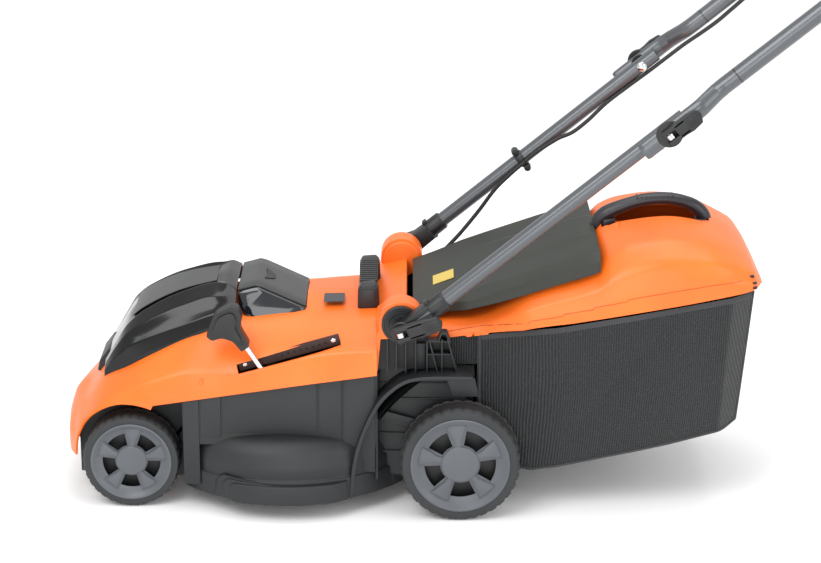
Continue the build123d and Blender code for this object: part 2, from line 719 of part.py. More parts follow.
def start_button():
    return on_handle(Cylinder(6, 14), BOX_AT + 18, UPPER_Y - 12, 27)


# ---------------------------------------------------------------- cable

CABLE_R = 3.0
CABLE_CLIP_AT = 196.0
CABLE_LOWER = [(-38, 153, 248), (-38, 153, 262), (-30, 158, 279), (-12, 163, 297), (8, 168, 318), (34, 172, 350),
               (58, 171, 384), (82, 171, 409), (104, 171, 429)]
CABLE_UPPER = [(120, 171, 443), (152, 171, 464), (175, 173, 474), (198, 175, 492), (225, 176, 518),
               (256, 177, 542), (286, 178, 565), (316, 180, 589), (340, 181, 608), (364, 181, 625),
               (388, 181, 643), (410, 180, 663), (440, 178, 690), (480, 176, 716), (520, 175, 750),
               (560, 175, 779), (592, 175, 808)]


def cable(route, name):
    """A lead as straight runs joined by tangent arcs."""
    points = [Vector(*p) for p in route]
    radii = []
    for a, b, c in zip(points, points[1:], points[2:]):
        half_turn = (b - a).get_angle(c - b) / 2
        run = min((b - a).length, (c - b).length)
        radii.append(0.45 * run / tan(radians(max(half_turn, 0.5))))
    path = FilletPolyline(*route, radius=radii)
    lead = sweep(Plane(origin=route[0], z_dir=path % 0) * Circle(CABLE_R), path=path)
    section = pi * CABLE_R ** 2
    print(name, "radii", [round(r) for r in radii], "length", round(path.length, 1),
          "volume ratio", round(lead.volume / (section * path.length), 4))
    return lead


def cable_clips():
    """A pair of clip halves round the lower tube and the lead."""
    ring = on_handle(Rot(0, 90, 0) * (Cylinder(13.4, 12) - Cylinder(LOWER_R, 12)), CABLE_CLIP_AT - 6, LOWER_Y)
    knob = on_handle(Rot(90, 0, 0) * Cylinder(5, 8), CABLE_CLIP_AT - 6, LOWER_Y - 6, 17)
    return ring + knob


def cable_grommet():
    return Pos(-38, 153, 250) * (Cylinder(5, 10) - Cylinder(3.4, 30))


# ---------------------------------------------------------------- flap

def flap():
    """The rear cover: a shallow plate with sloping sides, hung on its rod."""
    rise = tan(radians(FLAP_ANGLE))
    x0, x1 = -66.0, 196.0
    z0 = 297.0
    z1 = z0 + (x1 - x0) * rise
    top = [(x0, z0), (x1, z1), (x1, z1 - 3), (x0, z0 - 3)]
    panel = side_plate(top, -124, 124)
    for side in (-1, 1):
        drop = side_plate([(x0, z0), (x1, z1), (x1, z1 - 16), (x0 + 40, z0 - 3)], *sorted((side * 124, side * 127)))
        panel += drop
    x, z = FLAP_PIVOT
    for y in (-100, 60):
        ear = block(x - 5, x + 5, y, y + 40, z - 5, z + 15) + cross_rod(x, z, y, y + 40, 6)
        panel += ear
    return panel - cross_rod(x, z, -130, 130, 3 + FIT)


def flap_rod():
    x, z = FLAP_PIVOT
    return cross_rod(x, z, -130, 130, 3)


def flap_spring():
    x, z = FLAP_PIVOT
    coil = cross_rod(x, z, -30, 30, 7) - cross_rod(x, z, -31, 31, 4.5)
    return coil


# ---------------------------------------------------------------- bag

BAG_TOP_STATIONS = [
    (BAG_FRONT, [(138, 252), (138, 262), (136, 272), (120, 284), (0, 287)]),
    (100.0, [(160, 277), (161, 290), (157, 306), (127, 326), (0, 330)]),
    (190.0, [(166, 291), (167, 312), (159, 334), (122, 352), (0, 369)]),
    (215.0, [(167, 295), (168, 320), (160, 350), (122, 384), (0, 396)]),
    (300.0, [(168, 309), (168, 340), (158, 376), (112, 398), (0, 406)]),
    (370.0, [(164, 322), (164, 346), (150, 370), (96, 384), (0, 390)]),
    (412.0, [(150, 330), (150, 340), (130, 352), (80, 356), (0, 358)]),
    (BAG_END, [(118, 326), (118, 330), (100, 334), (50, 336), (0, 337)]),
]
GRIP_WELL = (208.0, 360.0, 32.0, 356.0)


def bag_top():
    """The hard plastic top with a well under its grip."""
    outer = lofted(BAG_TOP_STATIONS)
    shell = outer - lofted([(x, h) for x, h in BAG_TOP_STATIONS], 2.5, 10)
    lower = [(BAG_FRONT, 0), (BAG_FRONT, 262), (139, 283), (381, 327), (BAG_END + 5, 336), (BAG_END + 5, 0)]
    shell -= side_plate(lower, -300, 300)
    x0, x1, half, z0 = GRIP_WELL
    shell -= block(x0, x1, -half, half, z0, 420)
    well = block(x0 - 2.5, x1 + 2.5, -half - 2.5, half + 2.5, z0 - 2.5, 420)
    well -= block(x0, x1, -half, half, z0, 430)
    return keep_largest(shell + (well & outer))


def bag_grip():
    x0, x1, half, z0 = GRIP_WELL
    arch = Spline((x0 + 6, 384), (x0 + 60, 410), (x0 + 112, 418), (x1 - 8, 392))
    path = Plane.XZ * arch
    start = path @ 0
    bar = sweep(Plane(origin=start, z_dir=path % 0) * Rectangle(18, 22), path=path)
    for x, z in ((x0 + 9, 384), (x1 - 9, 390)):
        bar += block(x - 9, x + 9, -11, 11, z0, z)
    return bar


FABRIC_STATIONS = [
    (BAG_FRONT, [(136, 70), (136, 262), (0, 262)]),
    (90.0, [(142, 57), (144, 274), (0, 274)]),
    (140.0, [(160, 66), (164, 283), (0, 283)]),
    (380.0, [(158, 122), (163, 326), (0, 326)]),
    (412.0, [(148, 134), (150, 331), (0, 331)]),
]


def fabric_block(inset):
    faces = []
    for x, half in FABRIC_STATIONS:
        (y0, z0), (y1, z1), _ = half
        y0, y1, z0, z1 = y0 - inset, y1 - inset, z0 + inset, z1 - inset / 4
        points = [(x, -y0, z0), (x, y0, z0), (x, y1, z1), (x, -y1, z1)]
        faces.append(make_face(Polyline(*points, close=True)))
    return loft(faces, ruled=True)


def bag_fabric():
    """The net bag: floor, sides and back, open at the front and under its top."""
    skin = 2.0
    shell = fabric_block(0) - fabric_block(skin)
    shell -= block(0, BAG_FRONT + 4, -130, 130, 76, 250)
    roof = [(0, 257.5), (139, 279), (381, 323), (430, 332), (430, 400), (0, 400)]
    shell -= side_plate(roof, -300, 300)
    back = block(410, 412, -146, 146, 137, 328)
    return keep_largest(shell + back)


def bag_frame():
    """The steel rod frame of the bag's mouth."""
    x = BAG_FRONT + 8
    ring = block(x - 3, x + 3, -131, 131, 76, 256)
    return ring - block(x - 4, x + 4, -125, 125, 82, 250)


# ---------------------------------------------------------------- height lever

SLOT_AT = 100.0
KNOB_AT = 142.0


def lever_rod():
    """Chromed rod, cross shaft and crank arm of the height lever."""
    x, z = LEVER_PIVOT
    lean = radians(LEVER_LEAN)
    shaft = cross_rod(x, z, -LEVER_Y - 4.7, LINK_Y[0] - 0.5, AXLE_R)
    rod = Pos(0, 0, KNOB_AT / 2 + 1) * Cylinder(4, KNOB_AT - 2)
    rod = Pos(x, -LEVER_Y, z) * Rot(0, -LEVER_LEAN, 0) * rod
    joined = shaft + rod + arm(LEVER_PIVOT, LEVER_PIN, *LINK_Y, ARM_R)
    return joined + cross_rod(*LEVER_PIN, LINK_Y[0], BAR_Y[1] + 1, PIN_R)


def lever_knob():
    """T shaped knob pressed on the rod's end."""
    x, z = LEVER_PIVOT
    neck = Pos(0, 0, KNOB_AT + 2) * Box(16, 18, 34)
    tee = Pos(-5, 0, KNOB_AT + 26) * Rot(0, 20, 0) * Box(24, 22, 52)
    grip = neck + tee - Pos(0, 0, KNOB_AT - 20) * Cylinder(4, 40)
    return Pos(x, -LEVER_Y, z) * Rot(0, -LEVER_LEAN, 0) * grip


# ---------------------------------------------------------------- the whole mower

def wheel_nodes():
    nodes = {}
    for side, label in ((-1, "left"), (1, "right")):
        tyre, rim = wheel_parts(0, REAR_R, REAR_W, REAR_FACE, side)
        nodes[f"rear_{label}_tyre"] = tyre
        nodes[f"rear_{label}_rim"] = rim
        tyre, rim = wheel_parts(-WHEELBASE, FRONT_R, FRONT_W, FRONT_FACE, side)
        nodes[f"front_{label}_tyre"] = tyre
        nodes[f"front_{label}_rim"] = rim
    return nodes


def all_nodes():
    rear_wheel = (0.0, REAR_R)
    front_wheel = (-WHEELBASE, FRONT_R)
    nodes = {
        "deck": deck(), "hood": hood(), "nose_cover": nose_cover(), "handle_towers": handle_towers(),
        "carry_handle": carry_handle(), "data_plate": data_plate(), "height_rack": height_rack(),
        "housing_screws": housing_screws(), "motor": motor(), "motor_screws": motor_screws(),
        "controller": controller(), "battery_bay": battery_bay(),
        "battery_terminals": battery_terminals(), "flap_rod": flap_rod(),
        "flap_spring": flap_spring(), "axle_bushes": axle_bushes(), "cable_grommet": cable_grommet(),
        "spindle": spindle(), "cooling_fan": cooling_fan(), "blade": blade(),
        "blade_bolt": blade_bolt(),
        "rear_axle": axle(REAR_PIVOT, rear_wheel, REAR_PIN, 144, (140, 148), 194),
        "front_axle": axle(FRONT_PIVOT, front_wheel, FRONT_PIN, 100, (97, 105), 144),
        "lever_rod": lever_rod(), "lever_knob": lever_knob(), "draw_bar": draw_bar(),
        "lower_tubes": lower_tubes(), "handle_brackets": handle_brackets(),
        "pivot_bolts": pivot_bolts(), "lower_cam_left": lower_cam(-1),
        "lower_cam_right": lower_cam(1), "upper_tube": upper_tube(), "foam_grip": foam_grip(),
        "switch_box": switch_box(), "joint_bolts": joint_bolts(), "cam_seats": cam_seats(),
        "upper_cam_left": upper_cam(-1), "upper_cam_right": upper_cam(1), "bail": bail(),
        "start_button": start_button(), "cable_clips": cable_clips(),
        "cable_lower": cable(CABLE_LOWER, "cable_lower"),
        "cable_upper": cable(CABLE_UPPER, "cable_upper"),
        "flap": flap(), "bag_top": bag_top(), "bag_grip": bag_grip(), "bag_fabric": bag_fabric(),
        "bag_frame": bag_frame(), "battery_lid": battery_lid(), "lid_panels": lid_panels(),
        "battery": battery(), "safety_key": safety_key(),
    }
    return nodes | wheel_nodes()


for node, shape in all_nodes().items():
    save(node, shape)
print("nodes saved", len(os.listdir("parts")), "middle x", round(MIDDLE_X, 2))
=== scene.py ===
import json
import math

import bmesh
import bpy
import numpy as np
from mathutils import Matrix, Vector

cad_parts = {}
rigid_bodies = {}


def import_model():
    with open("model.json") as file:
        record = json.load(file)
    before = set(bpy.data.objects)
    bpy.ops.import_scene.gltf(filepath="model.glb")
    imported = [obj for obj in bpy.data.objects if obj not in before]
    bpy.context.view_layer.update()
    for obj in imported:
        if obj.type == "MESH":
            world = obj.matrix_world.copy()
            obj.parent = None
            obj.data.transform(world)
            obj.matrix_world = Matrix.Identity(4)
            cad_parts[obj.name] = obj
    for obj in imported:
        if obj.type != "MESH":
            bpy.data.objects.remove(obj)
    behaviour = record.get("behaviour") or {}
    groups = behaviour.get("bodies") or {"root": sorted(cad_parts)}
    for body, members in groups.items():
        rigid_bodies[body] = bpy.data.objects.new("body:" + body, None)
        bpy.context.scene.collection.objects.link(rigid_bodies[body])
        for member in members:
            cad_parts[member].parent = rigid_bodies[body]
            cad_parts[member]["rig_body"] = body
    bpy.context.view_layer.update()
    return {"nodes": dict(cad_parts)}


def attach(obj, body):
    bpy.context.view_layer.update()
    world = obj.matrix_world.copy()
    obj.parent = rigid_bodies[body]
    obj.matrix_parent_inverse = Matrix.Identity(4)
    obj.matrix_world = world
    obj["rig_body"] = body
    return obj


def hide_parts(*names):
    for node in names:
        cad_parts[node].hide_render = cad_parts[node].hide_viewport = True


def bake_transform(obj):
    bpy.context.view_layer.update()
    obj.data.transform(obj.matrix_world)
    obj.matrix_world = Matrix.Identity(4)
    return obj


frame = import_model()


# ------------------------------------------------------------------ hood
# The orange upper shell: injection-moulded ABS about 3 mm thick, clipped over the housing.
# It arches over the front wheels, has a slot on its left flank for the height lever, and an
# open bay for the battery under the lid.

MIDDLE_X = 88.35


def row(points):
    """Millimetres measured from the rear axle to metres in the shared frame."""
    p = np.asarray(points, float).reshape(-1, 3).copy()
    p[:, 0] -= MIDDLE_X
    return p / 1000


def linear(hex_colour):
    """An sRGB hex value as the linear colour that a shader takes."""
    value = [int(hex_colour[i:i + 2], 16) / 255 for i in (1, 3, 5)]
    return [c / 12.92 if c <= 0.04045 else ((c + 0.055) / 1.055) ** 2.4 for c in value] + [1]


def add(tree, kind, settings=None, links=None):
    """Adds one node. Settings are its properties or input defaults, links feed its inputs."""
    node = tree.nodes.new(kind)
    for key, value in (settings or {}).items():
        if isinstance(key, str) and hasattr(node, key):
            setattr(node, key, value)
        else:
            node.inputs[key].default_value = value
    for key, source in (links or {}).items():
        tree.links.new(source, node.inputs[key])
    return node


def new_material(name):
    """An empty material with its output, and the Object coordinates every pattern starts from."""
    material = bpy.data.materials.new(name)
    material.use_nodes = True
    tree = material.node_tree
    tree.nodes.clear()
    out = add(tree, "ShaderNodeOutputMaterial")
    place = add(tree, "ShaderNodeTexCoord").outputs["Object"]
    return material, tree, out, place


def moulded(name, light, dark, rough, grain_mm, depth_mm, **shader):
    """Moulded plastic: the mould's fine grain as bump, slow drifts of tone, and a roughness that
    wanders a little where hands and grass have polished it."""
    material, tree, out, place = new_material(name)
    drift = add(tree, "ShaderNodeTexNoise", {"Scale": 14, "Detail": 3}, {"Vector": place})
    tone = add(tree, "ShaderNodeValToRGB", {}, {"Fac": drift.outputs["Fac"]})
    tone.color_ramp.elements[0].position = 0.35
    tone.color_ramp.elements[0].color = linear(dark)
    tone.color_ramp.elements[1].position = 0.65
    tone.color_ramp.elements[1].color = linear(light)
    grain = add(tree, "ShaderNodeTexNoise", {"Scale": 1000 / grain_mm, "Detail": 2}, {"Vector": place})
    bump = add(tree, "ShaderNodeBump", {"Distance": depth_mm / 1000, "Strength": 0.6},
               {"Height": grain.outputs["Fac"]})
    worn = add(tree, "ShaderNodeMapRange", {"To Min": rough - 0.05, "To Max": rough + 0.06},
               {"Value": drift.outputs["Fac"]})
    surface = add(tree, "ShaderNodeBsdfPrincipled", {"IOR": 1.5, **shader},
                  {"Base Color": tone.outputs["Color"], "Roughness": worn.outputs["Result"],
                   "Normal": bump.outputs["Normal"]})
    tree.links.new(surface.outputs["BSDF"], out.inputs["Surface"])
    return material


# Injection-moulded ABS, through-coloured: bright orange with a soft even sheen.
orange_abs = moulded("orange moulded ABS", "#f5701f", "#ee6819", 0.38, 0.9, 0.02)


def piece(name, points, faces, material, smooth=35):
    """A mesh piece from points in millimetres, with its normals made to agree."""
    mesh = bpy.data.meshes.new(name)
    mesh.from_pydata(row(points).tolist(), [], faces)
    made = bmesh.new()
    made.from_mesh(mesh)
    bmesh.ops.remove_doubles(made, verts=made.verts, dist=1e-5)
    bmesh.ops.recalc_face_normals(made, faces=made.faces)
    made.to_mesh(mesh)
    made.free()
    mesh.materials.append(material)
    mesh.shade_smooth()
    mesh.set_sharp_from_angle(angle=math.radians(smooth))
    obj = bpy.data.objects.new(name, mesh)
    bpy.context.scene.collection.objects.link(obj)
    return obj


def settled(obj, smooth=35):
    """Turns the object's modifiers into its plain mesh."""
    graph = bpy.context.evaluated_depsgraph_get()
    mesh = bpy.data.meshes.new_from_object(obj.evaluated_get(graph))
    obj.modifiers.clear()
    obj.data = mesh
    mesh.shade_smooth()
    mesh.set_sharp_from_angle(angle=math.radians(smooth))
    return obj


def modify(obj, kind, **settings):
    change = obj.modifiers.new(kind.title(), kind)
    for key, value in settings.items():
        setattr(change, key, value)
    return change


def grid_faces(rows, columns, close_rows=False, close_columns=False):
    faces = []
    for i in range(rows - (0 if close_rows else 1)):
        for j in range(columns - (0 if close_columns else 1)):
            a, b = i * columns + j, i * columns + (j + 1) % columns
            k = (i + 1) % rows * columns
            faces.append((a, b, k + (j + 1) % columns, k + j))
    return faces


def rounded(corners, turn, steps=6):
    """Points along a run of corners, each corner eased by its turn: 0 is crisp, 1 fully round."""
    corners = [np.asarray(c, float) for c in corners]
    run = [corners[0]]
    for before, corner, after, ease in zip(corners, corners[1:], corners[2:], turn):
        a = corner + (before - corner) * ease / 2
        b = corner + (after - corner) * ease / 2
        for t in np.linspace(0, 1, steps):
            run.append((1 - t) ** 2 * a + 2 * t * (1 - t) * corner + t * t * b)
    run.append(corners[-1])
    filled = []
    for a, b in zip(run, run[1:]):
        filled += [a, (2 * a + b) / 3, (a + 2 * b) / 3]
    return np.array(filled + [run[-1]])


def eased(knots, values, at):
    """Monotone cubic through the values at the knots, evaluated at new places."""
    knots, values, at = np.asarray(knots, float), np.asarray(values, float), np.asarray(at, float)
    step = np.diff(knots)
    rise = np.diff(values, axis=0) / step[:, None]
    slope = np.vstack([rise[:1], rise])
    slope[-1] = rise[-1]
    inner = rise[:-1] * rise[1:]
    slope[1:-1] = np.where(inner > 0, 2 * inner / (rise[:-1] + rise[1:] + 1e-12 * (inner <= 0)), 0)
    k = np.clip(np.searchsorted(knots, at, side="right") - 1, 0, len(step) - 1)
    t = ((at - knots[k]) / step[k])[:, None]
    h = step[k][:, None]
    return ((2 * t ** 3 - 3 * t ** 2 + 1) * values[k] + (t ** 3 - 2 * t ** 2 + t) * h * slope[k]
            + (3 * t ** 2 - 2 * t ** 3) * values[k + 1] + (t ** 3 - t ** 2) * h * slope[k + 1])


def shell_rows(stations, turn, along):
    """Rows of points across a shell whose half outlines are given station by station. Each half
    runs from its lower edge up to the middle; the other half is its mirror."""
    knots = [x for x, _ in stations]
    halves = np.array([rounded(half, turn) for _, half in stations])
    count = halves.shape[1]
    flat = eased(knots, halves.reshape(len(knots), -1), along).reshape(len(along), count, 2)
    rows = []
    for x, half in zip(along, flat):
        near = [(x, -y, z) for y, z in half]
        far = [(x, y, z) for y, z in half[::-1][1:]]
        rows.append(near + far)
    return np.array(rows)


def carve(obj, cutter):
    """Cuts a closed shape out of the piece and removes the cutter."""
    modify(obj, "BOOLEAN", operation="DIFFERENCE", object=cutter, solver="EXACT")
    settled(obj)
    bpy.data.objects.remove(cutter)
    return obj


def prism(name, outline, y0, y1, material=None):
    """A closed block with its outline in the side view, from y0 to y1."""
    n = len(outline)
    points = [(x, y0, z) for x, z in outline] + [(x, y1, z) for x, z in outline]
    faces = [tuple(range(n)), tuple(range(2 * n - 1, n - 1, -1))]
    faces += [(i, n + i, n + (i + 1) % n, (i + 1) % n) for i in range(n)]
    return piece(name, points, faces, material or orange_abs)


def mount(obj, body, slot, *nodes):
    """Fixes a finished piece to its moving group, with the CAD nodes it stands for."""
    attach(obj, body)
    if nodes:
        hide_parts(*nodes)
    return obj


HOOD = [
    (-573, [(45, 72), (46, 85), (46, 95), (40, 104), (20, 110), (0, 112)]),
    (-568, [(88, 70), (90, 85), (88, 98), (76, 106), (46, 118), (0, 126)]),
    (-560, [(110, 68), (112, 85), (110, 98), (95, 110), (60, 126), (0, 136)]),
    (-545, [(134, 66), (136, 90), (134, 108), (121, 124), (78, 140), (0, 147)]),
    (-512, [(150, 66), (151, 100), (149, 132), (138, 156), (90, 180), (0, 188)]),
    (-480, [(152, 66), (153, 110), (151, 150), (142, 174), (100, 198), (0, 208)]),
    (-440, [(153, 66), (155, 120), (155, 165), (147, 193), (101, 220), (0, 232)]),
    (-380, [(158, 66), (159, 125), (159, 174), (151, 208), (100, 250), (0, 262)]),
    (-335, [(162, 66), (163, 130), (162, 182), (151, 209), (96, 264), (0, 278)]),
    (-280, [(166, 66), (167, 140), (166, 190), (154, 222), (90, 268), (0, 278)]),
    (-220, [(171, 66), (172, 150), (170, 200), (158, 236), (84, 272), (0, 278)]),
    (-160, [(177, 66), (178, 156), (176, 208), (166, 246), (86, 275), (0, 280)]),
    (-118, [(181, 66), (181, 160), (180, 214), (172, 250), (86, 277), (0, 281)]),
]
HOOD_TURN = (0.7, 0.55, 0.28, 0.5)
HOOD_EDGE = ((-440.0, 158.2), (-118.0, 213.8))
FRONT_AXLE = (-472.5, 76.0)
ARCH = 82.5


def hood_lower_edge(x):
    """Height of the hood's rim: the long rising seam, the wheel arch, then the bumper."""
    (x0, z0), (x1, z1) = HOOD_EDGE
    seam = z0 + (x - x0) * (z1 - z0) / (x1 - x0)
    reach = ARCH ** 2 - (x - FRONT_AXLE[0]) ** 2
    arch = FRONT_AXLE[1] + math.sqrt(reach) if reach > 0 else 0
    if x > HOOD_EDGE[0][0]:
        return seam
    return max(arch, 68 if x < -545 else 66)


stops = np.concatenate([np.linspace(-573, -545, 16), np.linspace(-543, -118, 130)])
hood_rows = shell_rows(HOOD, HOOD_TURN, stops)
for line, x in zip(hood_rows, stops):
    edge = hood_lower_edge(x)
    low = line[:, 2] < edge + 1.5
    near = line[: len(line) // 2 + 1]
    line[low, 1] = np.sign(line[low, 1]) * np.interp(edge, near[:, 2], -near[:, 1])
    line[low, 2] = edge
CROWN = 0.9
hood_rows[:, :, 2] += CROWN * (1 - (hood_rows[:, :, 1] / 90) ** 2).clip(0)
hood = piece("hood", hood_rows.reshape(-1, 3), grid_faces(*hood_rows.shape[:2]), orange_abs)
modify(hood, "SOLIDIFY", thickness=0.003, offset=-1)
settled(hood)

SLOT = ((-313.0, 213.0), (-173.0, 253.5))
(sx0, sz0), (sx1, sz1) = SLOT
slot_lean = math.atan2(sz1 - sz0, sx1 - sx0)


def slot_block(half_long, half_tall, y0, y1, name, material):
    """A block lying along the lever slot, in the side view's plane."""
    cx, cz = (sx0 + sx1) / 2, (sz0 + sz1) / 2
    corners = []
    for u, v in ((-half_long, -half_tall), (half_long, -half_tall), (half_long, half_tall),
                 (-half_long, half_tall)):
        corners.append((cx + u * math.cos(slot_lean) - v * math.sin(slot_lean),
                        cz + u * math.sin(slot_lean) + v * math.cos(slot_lean)))
    return prism(name, corners, y0, y1, material)


carve(hood, slot_block(76, 6, -190, -138, "slot_cutter", orange_abs))
carve(hood, prism("bay_cutter", [(-318, 230), (-221, 230), (-221, 320), (-318, 320)], -62, 62))
modify(hood, "BEVEL", width=0.0012, segments=2, limit_method="ANGLE", angle_limit=math.radians(50))
settled(hood, 40)
mount(hood, "mower_body", "orange_plastic", "hood")

# The hood's narrow tail between the handle towers, stepped up to the rear cover's hinge.
tail = prism("hood_tail", [(-119, 240), (-119, 280.5), (-75.5, 289.5), (-75.5, 226)], -125.8, 125.8)
modify(tail, "BEVEL", width=0.003, segments=3, limit_method="ANGLE")
settled(tail)
mount(tail, "mower_body", "orange_plastic")


# ------------------------------------------------------------------ housing
# The dark lower housing: one polypropylene moulding that holds the motor, guards the blade and
# carries both axles. Its skirt bulges round the blade circle, with ribs and seams in its side.

# Moulded polypropylene, charcoal, with a coarser spark-eroded grain that looks almost dry.
charcoal_pp = moulded("charcoal moulded polypropylene", "#1d2022", "#181a1c", 0.52, 0.7, 0.05)
# The same resin in near-black, for brackets, handles and trim.
black_pp = moulded("black moulded polypropylene", "#18191b", "#131416", 0.44, 0.7, 0.03)


def revolved(name, profile, material, x, turn, start=0.0, stop=360.0, count=96):
    """A turned shell about an upright axis, from (radius, height) corners."""
    line = rounded(profile, turn)
    whole = stop - start >= 360
    angles = np.radians(np.linspace(start, stop, count, endpoint=not whole))
    points = [(x + r * math.cos(a), r * math.sin(a), z) for a in angles for r, z in line]
    return piece(name, points, grid_faces(len(angles), len(line), close_rows=whole), material)


BLADE_X = -245
DOME = [(14, 118.6), (150, 118.6), (176.4, 112.6), (190.6, 98.4), (196.6, 76.4), (196.6, 60.2), (200, 58),
        (200, 27),
        (196.5, 27), (196.5, 55), (193, 58), (193, 76), (187, 96), (170, 111), (140, 114.5), (14, 114.5)]
DOME_TURN = (0.6, 0.9, 0.8, 0.4, 0.3, 0.5, 0.3, 0.3, 0.3, 0.3, 0.3, 0.6, 0.9, 0.4)
dome = revolved("housing_dome", DOME + [(14, 118.2)], charcoal_pp, BLADE_X, DOME_TURN + (0.1,), count=144)
for name, x0, x1, y0, y1 in (("front_left", -600, -397, -300, -96), ("front_right", -600, -397, 96, 300),
                             ("rear", -61, 60, -300, 300), ("relief", -84, 60, -94, -81)):
    carve(dome, prism(f"{name}_cutter", [(x0, -10), (x1, -10), (x1, 140), (x0, 140)], y0, y1, charcoal_pp))
settled(dome, 40)
mount(dome, "mower_body", "dark_grey_plastic")


def plan_wall(name, line, z_low, z_high, thick, material, outside):
    """An upright wall along a plan line; its lower and upper edges may follow the side view."""
    line = np.asarray(line, float)
    points = []
    for x, y in line:
        low = z_low(x) if callable(z_low) else z_low
        high = z_high(x) if callable(z_high) else z_high
        inner = y - outside * thick
        points += [(x, y, low), (x, y, high), (x, inner, high), (x, inner, low)]
    n = len(line)
    faces = [(4 * i + j, 4 * i + (j + 1) % 4, 4 * i + 4 + (j + 1) % 4, 4 * i + 4 + j)
             for i in range(n - 1) for j in range(4)]
    faces += [(0, 1, 2, 3), (4 * n - 1, 4 * n - 2, 4 * n - 3, 4 * n - 4)]
    return piece(name, points, faces, material)


def below_hood(x):
    return hood_lower_edge(max(x, -439)) + 1.5 if x > -440 else 150


def side_y(x):
    """Plan line of the housing's side wall, drawn in a little towards the front wheels."""
    return 154.3 + 8.0 * (x + 397) / 267


for side, label in ((-1, "left"), (1, "right")):
    line = [(x, side * side_y(x)) for x in np.linspace(-395.6, -119, 30)]
    wall = plan_wall(f"housing_side_{label}", line, 100, below_hood, 3.5, black_pp, side)
    mount(wall, "mower_body", "dark_grey_plastic")
    # Raised pads and the upright seams between them.
    for k, (x0, x1, low) in enumerate(((-396, -372.5, 38), (-370.5, -341, 111), (-339, -203.5, 118),
                                       (-201, -168.5, 108), (-166, -121, 60))):
        line = [(x, side * (side_y(x) + 1.6)) for x in np.linspace(x0, x1, 8)]
        pad = plan_wall(f"side_pad_{label}_{k}", line, low, lambda x: below_hood(x) - 2.5, 3.0, charcoal_pp,
                        side)
        modify(pad, "BEVEL", width=0.0009, segments=2, limit_method="ANGLE")
        settled(pad)
        mount(pad, "mower_body", "dark_grey_plastic")
    front = prism(f"housing_front_{label}", [(-395.6, 36.5), (-392.5, 36.5), (-392.5, 163), (-395.6, 163)],
                  *sorted((side * 92, side * 155)), charcoal_pp)
    mount(front, "mower_body", "dark_grey_plastic")

# The skirt's guard strip: three nested lips that start stepped at the front and run back flush.
for side, label in ((-1, "left"), (1, "right")):
    for k, (start, reach, low, high) in enumerate(((-352, 3.0, 30, 64), (-344, 6.0, 28.5, 60),
                                                   (-335, 9.0, 27.2, 55))):
        points, n = [], 40
        for x in np.linspace(start, -160, n):
            ease = min(1.0, (x - start) / 12)
            base = math.sqrt(max(200.2 ** 2 - (x - BLADE_X) ** 2, 0))
            out = base + reach * ease ** 0.5 * min(1, (-158 - x) / 30 + 0.35)
            tall = high - (0 if k == 2 else (x - start) * (0.10 if k == 0 else 0.06))
            tall = max(tall, low + 8) if k == 2 else tall
            top = low + (tall - low) * min(1.0, 0.55 + 0.45 * ease)
            points += [(x, side * (base - 2), low), (x, side * out, low), (x, side * (out - 1.2), top),
                       (x, side * (base - 2), top + 1)]
        faces = [(4 * i + j, 4 * i + (j + 1) % 4, 4 * i + 4 + (j + 1) % 4, 4 * i + 4 + j)
                 for i in range(n - 1) for j in range(4)]
        faces += [(0, 1, 2, 3), (4 * n - 1, 4 * n - 2, 4 * n - 3, 4 * n - 4)]
        lip = piece(f"skirt_lip_{label}_{k}", points, faces, charcoal_pp)
        modify(lip, "BEVEL", width=0.0012, segments=3, limit_method="ANGLE", angle_limit=math.radians(40))
        settled(lip)
        mount(lip, "mower_body", "dark_grey_plastic")

# Wheel-arch lips over the rear wheels, with the stiffening ribs of the wall behind them.
ARCH_LINE = rounded([(-158.5, 27), (-152, 96), (-122, 172), (-84, 207), (-50, 213.5), (18, 212.5)],
                    (0.9,) * 4)


def lip_strip(name, outline, thick, y0, y1, material):
    """A strip that follows a side-view line, of one thickness, from y0 to y1."""
    line = np.asarray(outline, float)
    way = np.gradient(line, axis=0)
    way /= np.linalg.norm(way, axis=1)[:, None]
    inner = line + np.stack([way[:, 1], -way[:, 0]], 1) * thick
    n, points = len(line), []
    for (xa, za), (xb, zb) in zip(line, inner):
        points += [(xa, y0, za), (xa, y1, za), (xb, y1, zb), (xb, y0, zb)]
    faces = [(4 * i + j, 4 * i + (j + 1) % 4, 4 * i + 4 + (j + 1) % 4, 4 * i + 4 + j)
             for i in range(n - 1) for j in range(4)]
    faces += [(0, 1, 2, 3), (4 * n - 1, 4 * n - 2, 4 * n - 3, 4 * n - 4)]
    return piece(name, points, faces, material)


